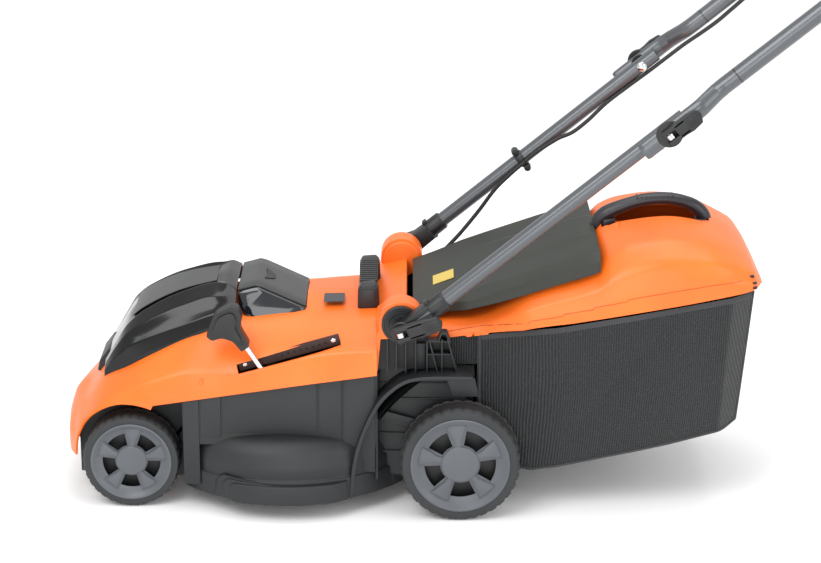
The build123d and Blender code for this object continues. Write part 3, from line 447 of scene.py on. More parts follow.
for side, label in ((-1, "left"), (1, "right")):
    def flank(a, b):
        return sorted((side * a, side * b))

    arch = lip_strip(f"wheel_arch_{label}", ARCH_LINE, 3.0, *flank(136, 180), charcoal_pp)
    rim = lip_strip(f"wheel_arch_rim_{label}", ARCH_LINE, 5.5, *flank(177.5, 180.5), charcoal_pp)
    wall = prism(f"arch_wall_{label}", [(-117.5, 47), (8, 47), (8, 210), (-117.5, 210)], *flank(134, 137.2),
                 charcoal_pp)
    closing = prism(f"arch_closing_{label}", [(-121, 47), (-117, 47), (-117, 214), (-121, 214)],
                    *flank(134, 160), charcoal_pp)
    tab = prism(f"arch_tab_{label}", [(-22, 211), (19.5, 211), (26.5, 178), (-10, 178)], *flank(165, 169),
                charcoal_pp)
    stays = [arch, rim, wall, closing, tab]
    # Level ledges stamped on the inner wall, a plain square emblem and the brace behind the wheel.
    for k, z in enumerate((190, 166, 112, 84)):
        stays.append(prism(f"arch_ledge_{label}_{k}", [(-118, z), (6, z - 2), (6, z - 4.5),
                                                       (-118, z - 2.5)],
                           *flank(135.5, 140), charcoal_pp))
    stays.append(prism(f"arch_emblem_{label}", [(-94, 170), (-74, 170), (-74, 187), (-94, 187)],
                       *flank(135, 137.5), charcoal_pp))
    stays.append(prism(f"arch_brace_{label}", [(-116, 150), (-116, 135), (0, 100), (0, 116)],
                       *flank(135.5, 146), charcoal_pp))
    for obj in stays:
        modify(obj, "BEVEL", width=0.0007, segments=2, limit_method="ANGLE", angle_limit=math.radians(40))
        settled(obj)
        mount(obj, "mower_body", "dark_grey_plastic")

    # Above the arch: a dark wall with upright ribs, then the two-storey comb with its peaked post.
    back = prism(f"rib_wall_{label}", [(-118, 211), (-46, 211), (-46, 265), (-118, 265)], *flank(140, 143),
                 black_pp)
    mount(back, "mower_body", "dark_grey_plastic")
    comb_back = prism(f"comb_wall_{label}", [(-50, 211), (-3, 211), (-12, 238), (-20, 270), (-27, 270),
                                             (-33, 257), (-50, 257)],
                      *flank(140, 144), charcoal_pp)
    mount(comb_back, "mower_body", "dark_grey_plastic")
    ribs = []
    for k, (xa, xb, top) in enumerate(((-104, -104, 264), (-91, -91, 264), (-78, -78, 264), (-64, -64, 264),
                                       (-48, -48, 258),
                                       (-44, -33, 258), (-27, -27, 262), (-19, -6, 262))):
        ribs.append(prism(f"rib_{label}_{k}", [(xa - 0.4, top), (xa + 1.8, top), (xb + 1.8, 212),
                                               (xb - 0.4, 212)],
                          *flank(143, 162), charcoal_pp))
    for k, z in enumerate((257, 238)):
        ribs.append(prism(f"comb_shelf_{label}_{k}", [(-46, z), (-14, z), (-14, z + 2), (-46, z + 2)],
                          *flank(143, 161), charcoal_pp))
    ribs.append(prism(f"comb_peak_{label}", [(-33, 257), (-28.5, 271), (-19, 271), (-14, 257), (-16.5, 257),
                                             (-21, 268.5), (-26.5, 268.5), (-30.5, 257)],
                      *flank(143, 162), charcoal_pp))
    ribs.append(prism(f"comb_plate_{label}", [(-64, 214), (-50, 214), (-50, 252), (-64, 252)],
                      *flank(150, 152.5), charcoal_pp))
    for obj in ribs:
        modify(obj, "BEVEL", width=0.0004, segments=2, limit_method="ANGLE", angle_limit=math.radians(40))
        settled(obj)
        mount(obj, "mower_body", "dark_grey_plastic")


def from_cad(node, name, width, material, slot, smooth=30, keep=None):
    """A merged copy of a CAD node's mesh with its edges eased as the mould or press leaves them."""
    source = frame["nodes"][node]
    mesh = source.data.copy()
    mesh.materials.clear()
    mesh.materials.append(material)
    made = bmesh.new()
    made.from_mesh(mesh)
    bmesh.ops.remove_doubles(made, verts=made.verts, dist=2e-5)
    if keep is not None:
        gone = [f for f in made.faces if not keep(f)]
        bmesh.ops.delete(made, geom=gone, context="FACES")
    bmesh.ops.dissolve_limit(made, angle_limit=math.radians(1), verts=made.verts, edges=made.edges)
    made.to_mesh(mesh)
    made.free()
    obj = bpy.data.objects.new(name, mesh)
    bpy.context.scene.collection.objects.link(obj)
    if width:
        modify(obj, "BEVEL", width=width / 1000, segments=2, limit_method="ANGLE",
               angle_limit=math.radians(35))
    settled(obj, smooth)
    return mount(obj, source["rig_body"], slot, node)


# The housing's inner walls, chute and bearing posts keep their designed shape. What lies wholly
# outside the flanks, in metres from the middle plane, is left to the detailed walls above.
OVERLAID_FROM = 0.1363
from_cad("deck", "housing_inner", 0, charcoal_pp, "dark_grey_plastic",
         keep=lambda face: min(abs(v.co.y) for v in face.verts) < OVERLAID_FROM)


# ------------------------------------------------------------------ front cover
# Glossy black ABS cover over the electronics, snapped into the hood: a flat raised top band
# between two rails, faceted flanks and a matt lug at its front foot.

gloss_black_abs = moulded("gloss black ABS", "#0d0e10", "#0a0b0c", 0.15, 2.5, 0.004,
                          **{"Specular IOR Level": 0.3, "Coat Weight": 0.12, "Coat Roughness": 0.08})
satin_grey_abs = moulded("satin grey ABS", "#2f3031", "#2a2b2c", 0.34, 0.8, 0.015)

COVER = [
    (-514, [(86, 178), (84, 186), (74, 193), (62, 196), (54, 195), (0, 199)]),
    (-500, [(92, 184), (90, 205), (80, 216), (62, 220), (54, 218), (0, 222)]),
    (-480, [(98, 193), (95, 222), (84, 242), (66, 251), (57, 248.5), (0, 253)]),
    (-457, [(100, 205), (96, 232), (84, 258), (62, 270), (54, 267.5), (0, 272)]),
    (-400, [(102, 232), (98, 254), (80, 284), (54, 297), (46, 294), (0, 297)]),
    (-350, [(103, 256), (99, 274), (78, 298), (48, 309), (40, 306), (0, 308)]),
    (-336, [(104, 262), (99, 278), (76, 298), (56, 309), (48, 309), (0, 310)]),
    (-321.5, [(104, 268), (99, 282), (74, 296), (62, 302), (54, 303), (0, 304)]),
]
stops = np.concatenate([np.linspace(-514, -480, 14), np.linspace(-476, -321.5, 44)])
rows = shell_rows(COVER, (0.16, 0.12, 0.25, 0.3), stops)
# A stepped notch in the lower edge near the front.
for line, x in zip(rows, stops):
    lift = 6 * float(np.clip((x + 484) / 4, 0, 1)) * float(np.clip((-330 - x) / 10, 0, 1))
    low = np.abs(line[:, 1]) > 94
    line[low, 2] += lift * 0.5
cover = piece("nose_cover", rows.reshape(-1, 3), grid_faces(*rows.shape[:2]), gloss_black_abs, smooth=24)
cap = [tuple(range(rows.shape[1]))]
front_cap = piece("cover_front", rows[0], cap, gloss_black_abs)
cover_mesh = bmesh.new()
cover_mesh.from_mesh(cover.data)
cover_mesh.from_mesh(front_cap.data)
bpy.data.objects.remove(front_cap)
bmesh.ops.remove_doubles(cover_mesh, verts=cover_mesh.verts, dist=1e-5)
bmesh.ops.recalc_face_normals(cover_mesh, faces=cover_mesh.faces)
cover_mesh.to_mesh(cover.data)
cover_mesh.free()
modify(cover, "SOLIDIFY", thickness=0.0025, offset=-1)
modify(cover, "BEVEL", width=0.0009, segments=2, limit_method="ANGLE", angle_limit=math.radians(24))
settled(cover, 30)
mount(cover, "mower_body", "grey_plastic", "nose_cover")
lug = prism("cover_lug", [(-531, 168), (-514, 168), (-505, 200), (-512, 203), (-527, 184)], -40, 40,
            black_pp)
modify(lug, "BEVEL", width=0.003, segments=3, limit_method="ANGLE")
settled(lug)
mount(lug, "mower_body", "black_plastic")
# The satin band let into the top between the rails.
band = []
for x in np.linspace(-474, -352, 26):
    z = float(np.interp(x, stops, rows[:, rows.shape[1] // 2, 2]))
    half = float(np.interp(x, [-480, -457, -400, -350], [52, 49, 41, 35]))
    band += [(x, -half, z), (x, half, z), (x, half, z - 1.6), (x, -half, z - 1.6)]
n = len(band) // 4
faces = [(4 * i + j, 4 * i + (j + 1) % 4, 4 * i + 4 + (j + 1) % 4,
          4 * i + 4 + j) for i in range(n - 1) for j in range(4)]
faces += [(0, 1, 2, 3), (4 * n - 1, 4 * n - 2, 4 * n - 3, 4 * n - 4)]
band = piece("cover_band", band, faces, satin_grey_abs)
mount(band, "mower_body", "grey_plastic")


# ------------------------------------------------------------------ battery lid
# Hinged lid behind the front cover: satin grey top folded over a ridge, with a finger scoop and
# a notched rear edge, and smoked blue-black flanks that wrap down over the hood.

smoked_abs = moulded("smoked gloss ABS", "#14171d", "#101218", 0.09, 3.0, 0.003,
                     **{"Coat Weight": 0.5, "Coat Roughness": 0.04})
LID_LINE = rounded([(-319.5, 303), (-291, 310.8), (-221.5, 278.2)], (0.35,))
points, faces = [], []
for x, z in LID_LINE:
    for y in (-63.5, -61.5, -34, 0, 34, 61.5, 63.5):
        points.append((x, y, z - (0.8 if abs(y) > 62 else 0)))
columns = 7
for i, j in ((i, j) for i in range(len(LID_LINE) - 1) for j in range(columns - 1)):
    if LID_LINE[i][0] >= -240 and j in (2, 3):
        continue
    faces.append((i * columns + j, i * columns + j + 1, (i + 1) * columns + j + 1, (i + 1) * columns + j))
lid = piece("battery_lid", points, faces, satin_grey_abs)
modify(lid, "SOLIDIFY", thickness=0.003, offset=-1)
modify(lid, "BEVEL", width=0.0008, segments=2, limit_method="ANGLE", angle_limit=math.radians(30))
settled(lid)
mount(lid, "battery_door", "grey_plastic", "battery_lid")

scoop = []
for t in np.linspace(0, 1, 15):
    y = -24 + 48 * t
    scoop.append((-283 + 3 * math.sin(math.pi * t), y))
centre = (-276, 0)
points = [(centre[0], 0, 304.0)] + [(x, y, 307.9 - 0.467 * (x + 283) + 0.3) for x, y in scoop]
points += [(-283 + 16 * math.sin(math.pi * t), -24 + 48 * t,
            307.9 - 0.467 * 16 * math.sin(math.pi * t) + 0.3) for t in np.linspace(1, 0, 15)[1:-1]]
scoop_piece = piece("lid_scoop", points,
                    [(0, i, i + 1) for i in range(1, len(points) - 1)] + [(0, len(points) - 1, 1)],
                    black_pp)
mount(scoop_piece, "battery_door", "black_plastic")

FLANK = [(-319, 300), (-290.5, 307.6), (-222, 275.8), (-222, 270), (-232, 260.5), (-250, 254),
         (-276, 251.5), (-296, 253), (-308, 262), (-318, 282)]
outline = rounded(FLANK + [FLANK[0]], (0.1, 0.1, 0.4, 0.5, 0.5, 0.5, 0.5, 0.6, 0.5), steps=5)[:-1]
middle = np.array([-268, 284])
for side, label in ((-1, "left"), (1, "right")):
    points, n = [], len(outline)
    for ring, (grow, y_top, y_low) in enumerate(((1.0, 62.5, 62.5), (1.0, 66, 76), (0.9, 68.5, 80),
                                                 (0.7, 70, 81))):
        for x, z in outline:
            ridge = float(np.interp(x, [-319, -290.5, -222], [300, 307.6, 275.8]))
            depth = float(np.clip((ridge - z) / 34, 0, 1))
            px, pz = middle + (np.array([x, z]) - middle) * grow
            points.append((px, side * (y_top + (y_low - y_top) * depth), pz))
    faces = grid_faces(4, n, close_columns=True) + [tuple(range(3 * n, 4 * n)), tuple(range(n - 1, -1, -1))]
    flank_piece = piece(f"lid_flank_{label}", points, faces, smoked_abs, smooth=28)
    modify(flank_piece, "BEVEL", width=0.0008, segments=2, limit_method="ANGLE",
           angle_limit=math.radians(28))
    settled(flank_piece)
    mount(flank_piece, "battery_door", "grey_plastic", *(["lid_panels"] if side < 0 else []))


# ------------------------------------------------------------------ handle towers and carry handle
# Two round orange towers carry the handle's pivot bolts. Between them stands a ribbed black
# carry handle, screwed through the hood on two legs.

PIVOT = (-84.0, 287.0)


def rounded_prism(name, outline, y0, y1, ease_mm, material, segments=4, smooth=35):
    block = prism(name, outline, y0, y1, material)
    modify(block, "BEVEL", width=ease_mm / 1000, segments=segments, limit_method="ANGLE",
           angle_limit=math.radians(30))
    return settled(block, smooth)


def arc_points(cx, cz, radius, a0, a1, count):
    return [(cx + radius * math.cos(math.radians(a)), cz + radius * math.sin(math.radians(a)))
            for a in np.linspace(a0, a1, count)]


px, pz = PIVOT
TOWER = [(-119, 214), (-119, 268)] + arc_points(px, pz, 31.5, 196, -12,
                                                40) + [(-58, 266), (-112.5, 263), (-117, 214)]
for side, label in ((-1, "left"), (1, "right")):
    tower = rounded_prism(f"handle_tower_{label}", TOWER, *sorted((side * 130, side * 165)), 4.5,
                          orange_abs, 5)
    mount(tower, "mower_body", "orange_plastic", *(["handle_towers"] if side < 0 else []))
    collar = rounded_prism(f"tower_collar_{label}", arc_points(px, pz, 27.4, 0, 352.5, 48),
                           *sorted((side * 123, side * 131)), 1.5, orange_abs, 3)
    mount(collar, "mower_body", "orange_plastic")

BAR = [(-147, 262), (-146, 304), (-142, 311.5), (-122, 313), (-116.5, 307), (-114.5, 262)]
for side, label in ((-1, "left"), (1, "right")):
    leg = rounded_prism(f"carry_leg_{label}", BAR, *sorted((side * 49, side * 71.5)), 2.5, black_pp, 3)
    mount(leg, "mower_body", "black_plastic", *(["carry_handle"] if side < 0 else []))
    plate = rounded_prism(f"carry_leg_plate_{label}", [(-143, 276), (-142, 300), (-139, 305), (-124, 306),
                                                       (-120, 300), (-118.5, 276)],
                          *sorted((side * 70, side * 72.6)), 0.9, black_pp, 2)
    mount(plate, "mower_body", "black_plastic")
bridge = rounded_prism("carry_bridge", [(-142, 297), (-141, 308), (-123, 309.5), (-118, 303), (-119, 297)],
                       -50, 50, 2, black_pp, 3)
mount(bridge, "mower_body", "black_plastic")


def repeated(name, count, step, size, start, material, bevel=0.0008):
    """Identical moulded ribs in a straight row, built as one Geometry Nodes tree and made plain."""
    tree = bpy.data.node_groups.new(name, "GeometryNodeTree")
    face = tree.interface
    face.new_socket("Geometry", in_out="OUTPUT", socket_type="NodeSocketGeometry")
    sockets = {"Count": face.new_socket("Count", in_out="INPUT", socket_type="NodeSocketInt"),
               "Step": face.new_socket("Step", in_out="INPUT", socket_type="NodeSocketVector"),
               "Size": face.new_socket("Size", in_out="INPUT", socket_type="NodeSocketVector"),
               "Start": face.new_socket("Start", in_out="INPUT", socket_type="NodeSocketVector")}
    given = add(tree, "NodeGroupInput")
    out = add(tree, "NodeGroupOutput")
    rib = add(tree, "GeometryNodeMeshCube", {}, {"Size": given.outputs["Size"]})
    line = add(tree, "GeometryNodeMeshLine", {"mode": "OFFSET"},
               {"Count": given.outputs["Count"], "Start Location": given.outputs["Start"],
                "Offset": given.outputs["Step"]})
    spread = add(tree, "GeometryNodeInstanceOnPoints", {}, {"Points": line.outputs["Mesh"],
                                                            "Instance": rib.outputs["Mesh"]})
    real = add(tree, "GeometryNodeRealizeInstances", {}, {"Geometry": spread.outputs["Instances"]})
    painted = add(tree, "GeometryNodeSetMaterial", {"Material": material},
                  {"Geometry": real.outputs["Geometry"]})
    tree.links.new(painted.outputs["Geometry"], out.inputs["Geometry"])
    obj = bpy.data.objects.new(name, bpy.data.meshes.new(name))
    bpy.context.scene.collection.objects.link(obj)
    change = obj.modifiers.new("Row", "NODES")
    change.node_group = tree
    for key, value in (("Count", count), ("Step", step), ("Size", size), ("Start", start)):
        change[sockets[key].identifier] = value
    modify(obj, "BEVEL", width=bevel, segments=2, limit_method="ANGLE")
    return settled(obj)


def metres(*xyz):
    return tuple(float(v) for v in row([xyz])[0])


ribs = repeated("carry_ribs", 11, (0, 0.0092, 0), (0.0255, 0.0052, 0.006), metres(-130.5, -46, 309.5),
                black_pp)
mount(ribs, "mower_body", "black_plastic")
ribs = repeated("carry_side_ribs", 11, (0, 0.0092, 0), (0.004, 0.0052, 0.012), metres(-142.5, -46, 303),
                black_pp)
mount(ribs, "mower_body", "black_plastic")

# The plain data plate.
plate_grey = moulded("printed polyester plate", "#2b2c2e", "#26272a", 0.35, 1.2, 0.004)
plate = prism("data_plate", [(-196, 283.4), (-166, 283.8), (-166, 284.3), (-196, 283.9)], -62, -24,
              plate_grey)
mount(plate, "mower_body", "label_grey", "data_plate")


# ------------------------------------------------------------------ height lever
# A plated steel rod rises through the notched slot in the hood's flank and ends in a black
# T-shaped hand knob pressed on and pinned; it swings forward and back to set the height.

def metal(name, colour, rough, scale=400, **shader):
    """Plain metal with fine directional scratches that break up its reflection."""
    material, tree, out, place = new_material(name)
    stretch = add(tree, "ShaderNodeMapping", {"Scale": (1, 30, 1)}, {"Vector": place})
    scratch = add(tree, "ShaderNodeTexNoise", {"Scale": scale, "Detail": 4},
                  {"Vector": stretch.outputs["Vector"]})
    worn = add(tree, "ShaderNodeMapRange", {"To Min": rough - 0.04, "To Max": rough + 0.08},
               {"Value": scratch.outputs["Fac"]})
    bump = add(tree, "ShaderNodeBump", {"Distance": 0.00001, "Strength": 0.3},
               {"Height": scratch.outputs["Fac"]})
    surface = add(tree, "ShaderNodeBsdfPrincipled", {"Base Color": linear(colour), "Metallic": 1.0,
                                                     **shader},
                  {"Roughness": worn.outputs["Result"], "Normal": bump.outputs["Normal"]})
    tree.links.new(surface.outputs["BSDF"], out.inputs["Surface"])
    return material


# Bright zinc or chrome plate over drawn steel, and bare rolled steel for the running gear.
plated_steel = metal("plated steel", "#d2d3d5", 0.12)
rolled_steel = metal("rolled steel", "#8b8d90", 0.36)


def tube(name, line, radius, material, sides=20, squash=None, up=(0, 1, 0), close=True):
    """A round bar along a line of points in millimetres; squash gives an oval section per point."""
    line = np.asarray(line, float)
    way = np.gradient(line, axis=0)
    way /= np.linalg.norm(way, axis=1)[:, None]
    side = np.tile(np.asarray(up, float), (len(line), 1))
    side -= (side * way).sum(1)[:, None] * way
    side /= np.linalg.norm(side, axis=1)[:, None]
    third = np.cross(way, side)
    radius = np.broadcast_to(np.asarray(radius, float), (len(line),))
    oval = np.ones(len(line)) if squash is None else np.asarray(squash, float)
    angles = np.linspace(0, 2 * math.pi, sides, endpoint=False)
    points = [line[i] + radius[i] * (oval[i] * math.cos(a) * side[i] + math.sin(a) * third[i])
              for i in range(len(line)) for a in angles]
    faces = grid_faces(len(line), sides, close_columns=True)
    if close:
        faces += [tuple(range(sides)), tuple(range(len(points) - 1, len(points) - sides - 1, -1))]
    return piece(name, points, faces, material, smooth=40)


LEVER = (-233.6, 135.8)
lean = math.radians(32)


def on_lever(distance, rise=0.0):
    """A point up the leaning rod, with a step square to it towards the rear."""
    return (LEVER[0] - distance * math.sin(lean) + rise * math.cos(lean),
            LEVER[1] + distance * math.cos(lean) + rise * math.sin(lean))


rod_line = [(on_lever(s)[0], -150, on_lever(s)[1]) for s in np.linspace(4, 158, 12)]
rod = tube("height_rod", rod_line, 4.2, plated_steel, 24)
mount(rod, "height_lever", "chrome_rod")


def ring_stack(name, axis_x, axis_z, profile, material, turn_steps=48, smooth=30):
    """A turned part about a cross axis, from (y, radius) pairs."""
    angles = np.linspace(0, 2 * math.pi, turn_steps, endpoint=False)
    points = [(axis_x + r * math.cos(a), y, axis_z + r * math.sin(a)) for y, r in profile for a in angles]
    faces = grid_faces(len(profile), turn_steps, close_columns=True)
    n = turn_steps
    faces += [tuple(range(n)), tuple(range(len(points) - 1, len(points) - n - 1, -1))]
    return piece(name, points, faces, material, smooth)


shaft = ring_stack("lever_shaft", *LEVER, [(-155, 5), (-154, 6), (-92, 6)], rolled_steel, 24)
mount(shaft, "height_lever", "steel", "lever_rod")
KNOB = rounded([on_lever(131, -7), on_lever(150, -9), on_lever(163, -20), on_lever(166, -34),
                on_lever(177, -37), on_lever(197, -9),
                on_lever(195, 16), on_lever(187, 24), on_lever(172, 21), on_lever(160, 9), on_lever(131, 7),
                on_lever(131, -7)],
               (0.5, 0.7, 0.7, 0.5, 0.5, 0.6, 0.6, 0.6, 0.6, 0.4), steps=5)[:-1]
knob = rounded_prism("height_knob", [tuple(p) for p in KNOB], -161, -139, 4.5, black_pp, 4, 40)
mount(knob, "height_lever", "black_plastic", "lever_knob")
bulge = [(x + (on_lever(178, -4)[0] - x) * 0.32, z + (on_lever(178, -4)[1] - z) * 0.32) for x, z in KNOB]
bulge = rounded_prism("height_knob_pad", [tuple(p) for p in bulge], -165.5, -134.5, 4.0, black_pp, 4, 40)
mount(bulge, "height_lever", "black_plastic")
for k, s in enumerate((141, 154)):
    x, z = on_lever(s, 1)
    pin = ring_stack(f"knob_pin_{k}", x, z, [(-160.8, 3.4), (-161.8, 3.2), (-162.0, 1.4), (-161.2, 1.2)],
                     black_pp, 20)
    mount(pin, "height_lever", "black_plastic")

# The notched rack seen in the slot, in brown-black moulded nylon, with a screw at each end.
brown_nylon = moulded("brown-black nylon", "#3a2118", "#2c1811", 0.5, 0.8, 0.02)
rack = slot_block(75, 7.6, -138.4, -135, "slot_rack", brown_nylon)
mount(rack, "mower_body", "black_plastic", "height_rack")
teeth = repeated("rack_notches", 9, (0.0088, 0, 0.00255), (0.0034, 0.002, 0.0052),
                 metres(-262, -138.0, 229), black_pp, 0.0003)
mount(teeth, "mower_body", "black_plastic")
for k, (x, z) in enumerate(((sx0 + 7, sz0 + 2), (sx1 - 7, sz1 - 2))):
    screw = ring_stack(f"slot_screw_{k}", x, z, [(-138, 3.6), (-138.6, 3.6), (-139.2, 2.6), (-139.2, 1.2),
                                                 (-138.5, 1.0)], plated_steel, 20)
    mount(screw, "mower_body", "steel", *(["housing_screws"] if k == 0 else []))


# ------------------------------------------------------------------ wheels
# Moulded polypropylene wheels with a charcoal tread ring: a dished rim with five raised
# fan-shaped spokes, five windows, a flush round cap, and blocks round the tread's edges.

wheel_pp = moulded("grey moulded polypropylene", "#565a5f", "#4f5358", 0.38, 0.8, 0.02)
# A harder charcoal compound, dusty matt from the mould and from being rolled about.
tread_pp = moulded("charcoal tread compound", "#2c2e30", "#252729", 0.66, 0.9, 0.04)
# Darker, browner and rougher: given to the tread's running faces inboard of the outer 7 mm.
dark_tread = moulded("dull tread shoulder", "#2a2726", "#211f1e", 0.8, 1.6, 0.12)



def wheel_pieces(label, x, radius, width, face, side, body, seed_turn):
    """Builds one wheel at the axle: tread, rim, spokes, ridges and cap, then fixes it."""
    z = radius
    outer, inner = face, face - width
    k = radius / 85

    def place(px_, py_, pz_):
        return (x + px_, side * py_, z + pz_)

    # Tread ring with a wavy blocky edge: each tooth stands a little proud of the gaps.
    teeth, per = 34, 6
    steps = teeth * per
    profile = [(0.82, outer - 1.0), (0.90, outer - 0.2), (0.955, outer - 0.6), (0.985, outer - 3.2),
               (1.0, outer - 6.5),
               (1.0, outer - 10), (0.984, outer - 11), (0.984, outer - width / 2), (0.984, inner + 11),
               (1.0, inner + 10),
               (1.0, inner + 6), (0.95, inner + 0.4), (0.82, inner + 0.4)]
    points = []
    for share, y in profile:
        for i in range(steps):
            a = 2 * math.pi * i / steps + seed_turn
            phase = (i % per) / per
            notch = 0.0
            if share > 0.96:
                high = phase < 0.6
                flip = (i // per) % 2
                notch = 0.0 if high else 0.016
                if share < 0.99 and 11 < outer - y < width - 11:
                    notch = 0.0 if (high and flip == 0) else 0.012
            r = radius * (share - notch)
            points.append(place(r * math.cos(a), y, r * math.sin(a)))
    tyre = piece(f"{label}_tread", points, grid_faces(len(profile), steps, close_columns=True), tread_pp,
                 smooth=28)
    # Faces of the tread inboard of its outer 7 mm, not facing sideways, take the darker compound.
    tyre.data.materials.append(dark_tread)
    middle_y = outer - 7
    for poly in tyre.data.polygons:
        if side * poly.center.y * 1000 < middle_y and abs(poly.normal.y) < 0.8:
            poly.material_index = 1
    mount(tyre, body, "tyre_black", f"{label}_tyre")

    # Dished rim with five windows between the spokes.
    rim_r, cap_r = radius * 0.825, radius * 0.315
    windows = (0.335 * radius, 0.60 * radius)
    around = 180
    radii = [cap_r * 0.99, windows[0], windows[1], radius * 0.70, radius * 0.775, rim_r - 1.2, rim_r]
    depth = [outer - 8.5, outer - 8.5, outer - 9.5, outer - 8.0, outer - 2.6, outer - 0.9, outer - 1.3]

    def open_here(a, r0):
        spread = (math.degrees(a) - 90 + seed_turn) % 72
        return r0 == windows[0] and 15 < spread < 57

    angles = np.linspace(0, 2 * math.pi, around, endpoint=False)
    points = [place(r * math.cos(a), y, r * math.sin(a)) for r, y in zip(radii, depth) for a in angles]
    faces = []
    for i in range(len(radii) - 1):
        for j in range(around):
            if open_here((angles[j] + math.pi / around), radii[i]):
                continue
            b = (j + 1) % around
            faces.append((i * around + j, i * around + b, (i + 1) * around + b, (i + 1) * around + j))
    rim = piece(f"{label}_rim_face", points, faces, wheel_pp, smooth=30)
    modify(rim, "SOLIDIFY", thickness=0.003, offset=0)
    modify(rim, "BEVEL", width=0.0006, segments=2, limit_method="ANGLE", angle_limit=math.radians(45))
    settled(rim)
    mount(rim, body, "wheel_grey", f"{label}_rim")

    # The rim's barrel, its rear flange, and a black disc inside as painted shade seen through the windows.
    barrel = piece(f"{label}_barrel", [place(r * math.cos(a), y, r * math.sin(a)) for r, y in
                   ((rim_r - 1.5, outer - 2), (rim_r - 2.5, inner + 3), (rim_r - 5, inner + 3),
                    (rim_r - 4, outer - 6)) for a in angles],
                   grid_faces(4, around, close_rows=True, close_columns=True), wheel_pp)
    mount(barrel, body, "wheel_grey")
    # Painted shade: a black disc set inside the wheel darkens what shows through the windows.
    shade_disc = piece(f"{label}_web", [place(r * math.cos(a), y, r * math.sin(a)) for r, y in
                ((6.5, outer - 26), (rim_r - 4, outer - 26), (rim_r - 4, outer - 29),
                 (6.5, outer - 29)) for a in angles],
                grid_faces(4, around, close_rows=True, close_columns=True), black_pp)
    mount(shade_disc, body, "wheel_grey")
    hub = piece(f"{label}_hub", [place(r * math.cos(a), y, r * math.sin(a)) for r, y in
                ((6.1, outer - 8), (cap_r * 0.7, outer - 8), (cap_r * 0.62, inner + 4),
                 (6.1, inner + 4)) for a in angles],
                grid_faces(4, around, close_rows=True, close_columns=True), wheel_pp)
    mount(hub, body, "wheel_grey")

    # Flush cap over the axle end.
    cap = [(0.0, outer - 4.2), (cap_r * 0.9, outer - 4.2), (cap_r - 0.8, outer - 4.5), (cap_r, outer - 5.3),
           (cap_r, outer - 9), (0.0, outer - 9)]
    points = [place(r * math.cos(a), y, r * math.sin(a)) for r, y in cap for a in angles]
    cap_piece = piece(f"{label}_cap", points, grid_faces(len(cap), around, close_columns=True), wheel_pp)
    mount(cap_piece, body, "wheel_grey")

    # Fan-shaped spokes, narrow at the cap and wide at the rim, each outlined by a thin raised ridge.
    fans = []
    for n in range(5):
        turn = math.radians(90 + 72 * n) - math.radians(seed_turn)
        half = lambda r: np.interp(r, [cap_r, 0.42 * radius, 0.46 * radius, 0.68 * radius],
                                   [4.6 * k, 5.4 * k, 7.0 * k, 14.2 * k])
        edge = [(r, -half(r)) for r in np.linspace(cap_r - 1, 0.68 * radius, 10)]
        edge += [(math.sqrt(max((0.70 * radius) ** 2 - v * v, 1)), v)
                 for v in np.linspace(-13.5 * k, 13.5 * k, 9)]
        edge += [(r, half(r)) for r in np.linspace(0.68 * radius, cap_r - 1, 10)]
        m = len(edge)
        points = [place(r * math.cos(turn) - v * math.sin(turn), y, r * math.sin(turn) + v * math.cos(turn))
                  for y in (outer - 9.5, outer - 5.6) for r, v in edge]
        faces = [tuple(range(m)), tuple(range(2 * m - 1, m - 1, -1))]
        faces += [(i, m + i, m + (i + 1) % m, (i + 1) % m) for i in range(m)]
        fan = piece(f"{label}_fan_{n}", points, faces, wheel_pp)
        modify(fan, "BEVEL", width=0.0007, segments=2, limit_method="ANGLE", angle_limit=math.radians(50))
        fans.append(settled(fan))
        ridge = np.array([(r * math.cos(turn) - v * math.sin(turn),
                           r * math.sin(turn) + v * math.cos(turn)) for r, v in edge])
        line = [(x + a, side * (outer - 5.5), z + b) for a, b in ridge]
        fans.append(tube(f"{label}_ridge_{n}", line, 0.75 * k, wheel_pp, 6, up=(0, 1, 0)))
    for obj in fans:
        mount(obj, body, "wheel_grey")


for side, hand in ((-1, "left"), (1, "right")):
    wheel_pieces(f"rear_{hand}", 0.0, 85.0, 48.0, 200.0, side, f"rear_{hand}_wheel", -6.0)
    wheel_pieces(f"front_{hand}", -472.5, 70.0, 42.0, 150.0, side, f"front_{hand}_wheel", 4.0)


# ------------------------------------------------------------------ folding handle
# Powder-coated steel tube in two parts. The lower pair sits in black sockets that pivot on the
# towers; the upper loop's flattened ends lie outside them and are clamped by cam levers.

FOOT = (-49.0, 308.4)
slope = math.radians(39.2)


def on_tube(s, rise=0.0):
    """A point up the handle's straight line in the side view, with a step square to it."""
    return (FOOT[0] + s * math.cos(slope) - rise * math.sin(slope),
            FOOT[1] + s * math.sin(slope) + rise * math.cos(slope))


def coated(name, light, dark, rough, coat):
    """Powder coat on steel: fine orange-peel ripple under a clear gloss."""
    material, tree, out, place = new_material(name)
    peel = add(tree, "ShaderNodeTexNoise", {"Scale": 900, "Detail": 1}, {"Vector": place})
    drift = add(tree, "ShaderNodeTexNoise", {"Scale": 9, "Detail": 4}, {"Vector": place})
    tone = add(tree, "ShaderNodeValToRGB", {}, {"Fac": drift.outputs["Fac"]})
    tone.color_ramp.elements[0].color = linear(dark)
    tone.color_ramp.elements[1].color = linear(light)
    bump = add(tree, "ShaderNodeBump", {"Distance": 0.00002, "Strength": 0.35},
               {"Height": peel.outputs["Fac"]})
    surface = add(tree, "ShaderNodeBsdfPrincipled", {"Roughness": rough, "Coat Weight": coat,
                                                     "Coat Roughness": 0.08, "Metallic": 0.35},
                  {"Base Color": tone.outputs["Color"], "Normal": bump.outputs["Normal"]})
    tree.links.new(surface.outputs["BSDF"], out.inputs["Surface"])
    return material


tube_coat = coated("graphite powder coat", "#55585c", "#4b4e52", 0.34, 0.5)

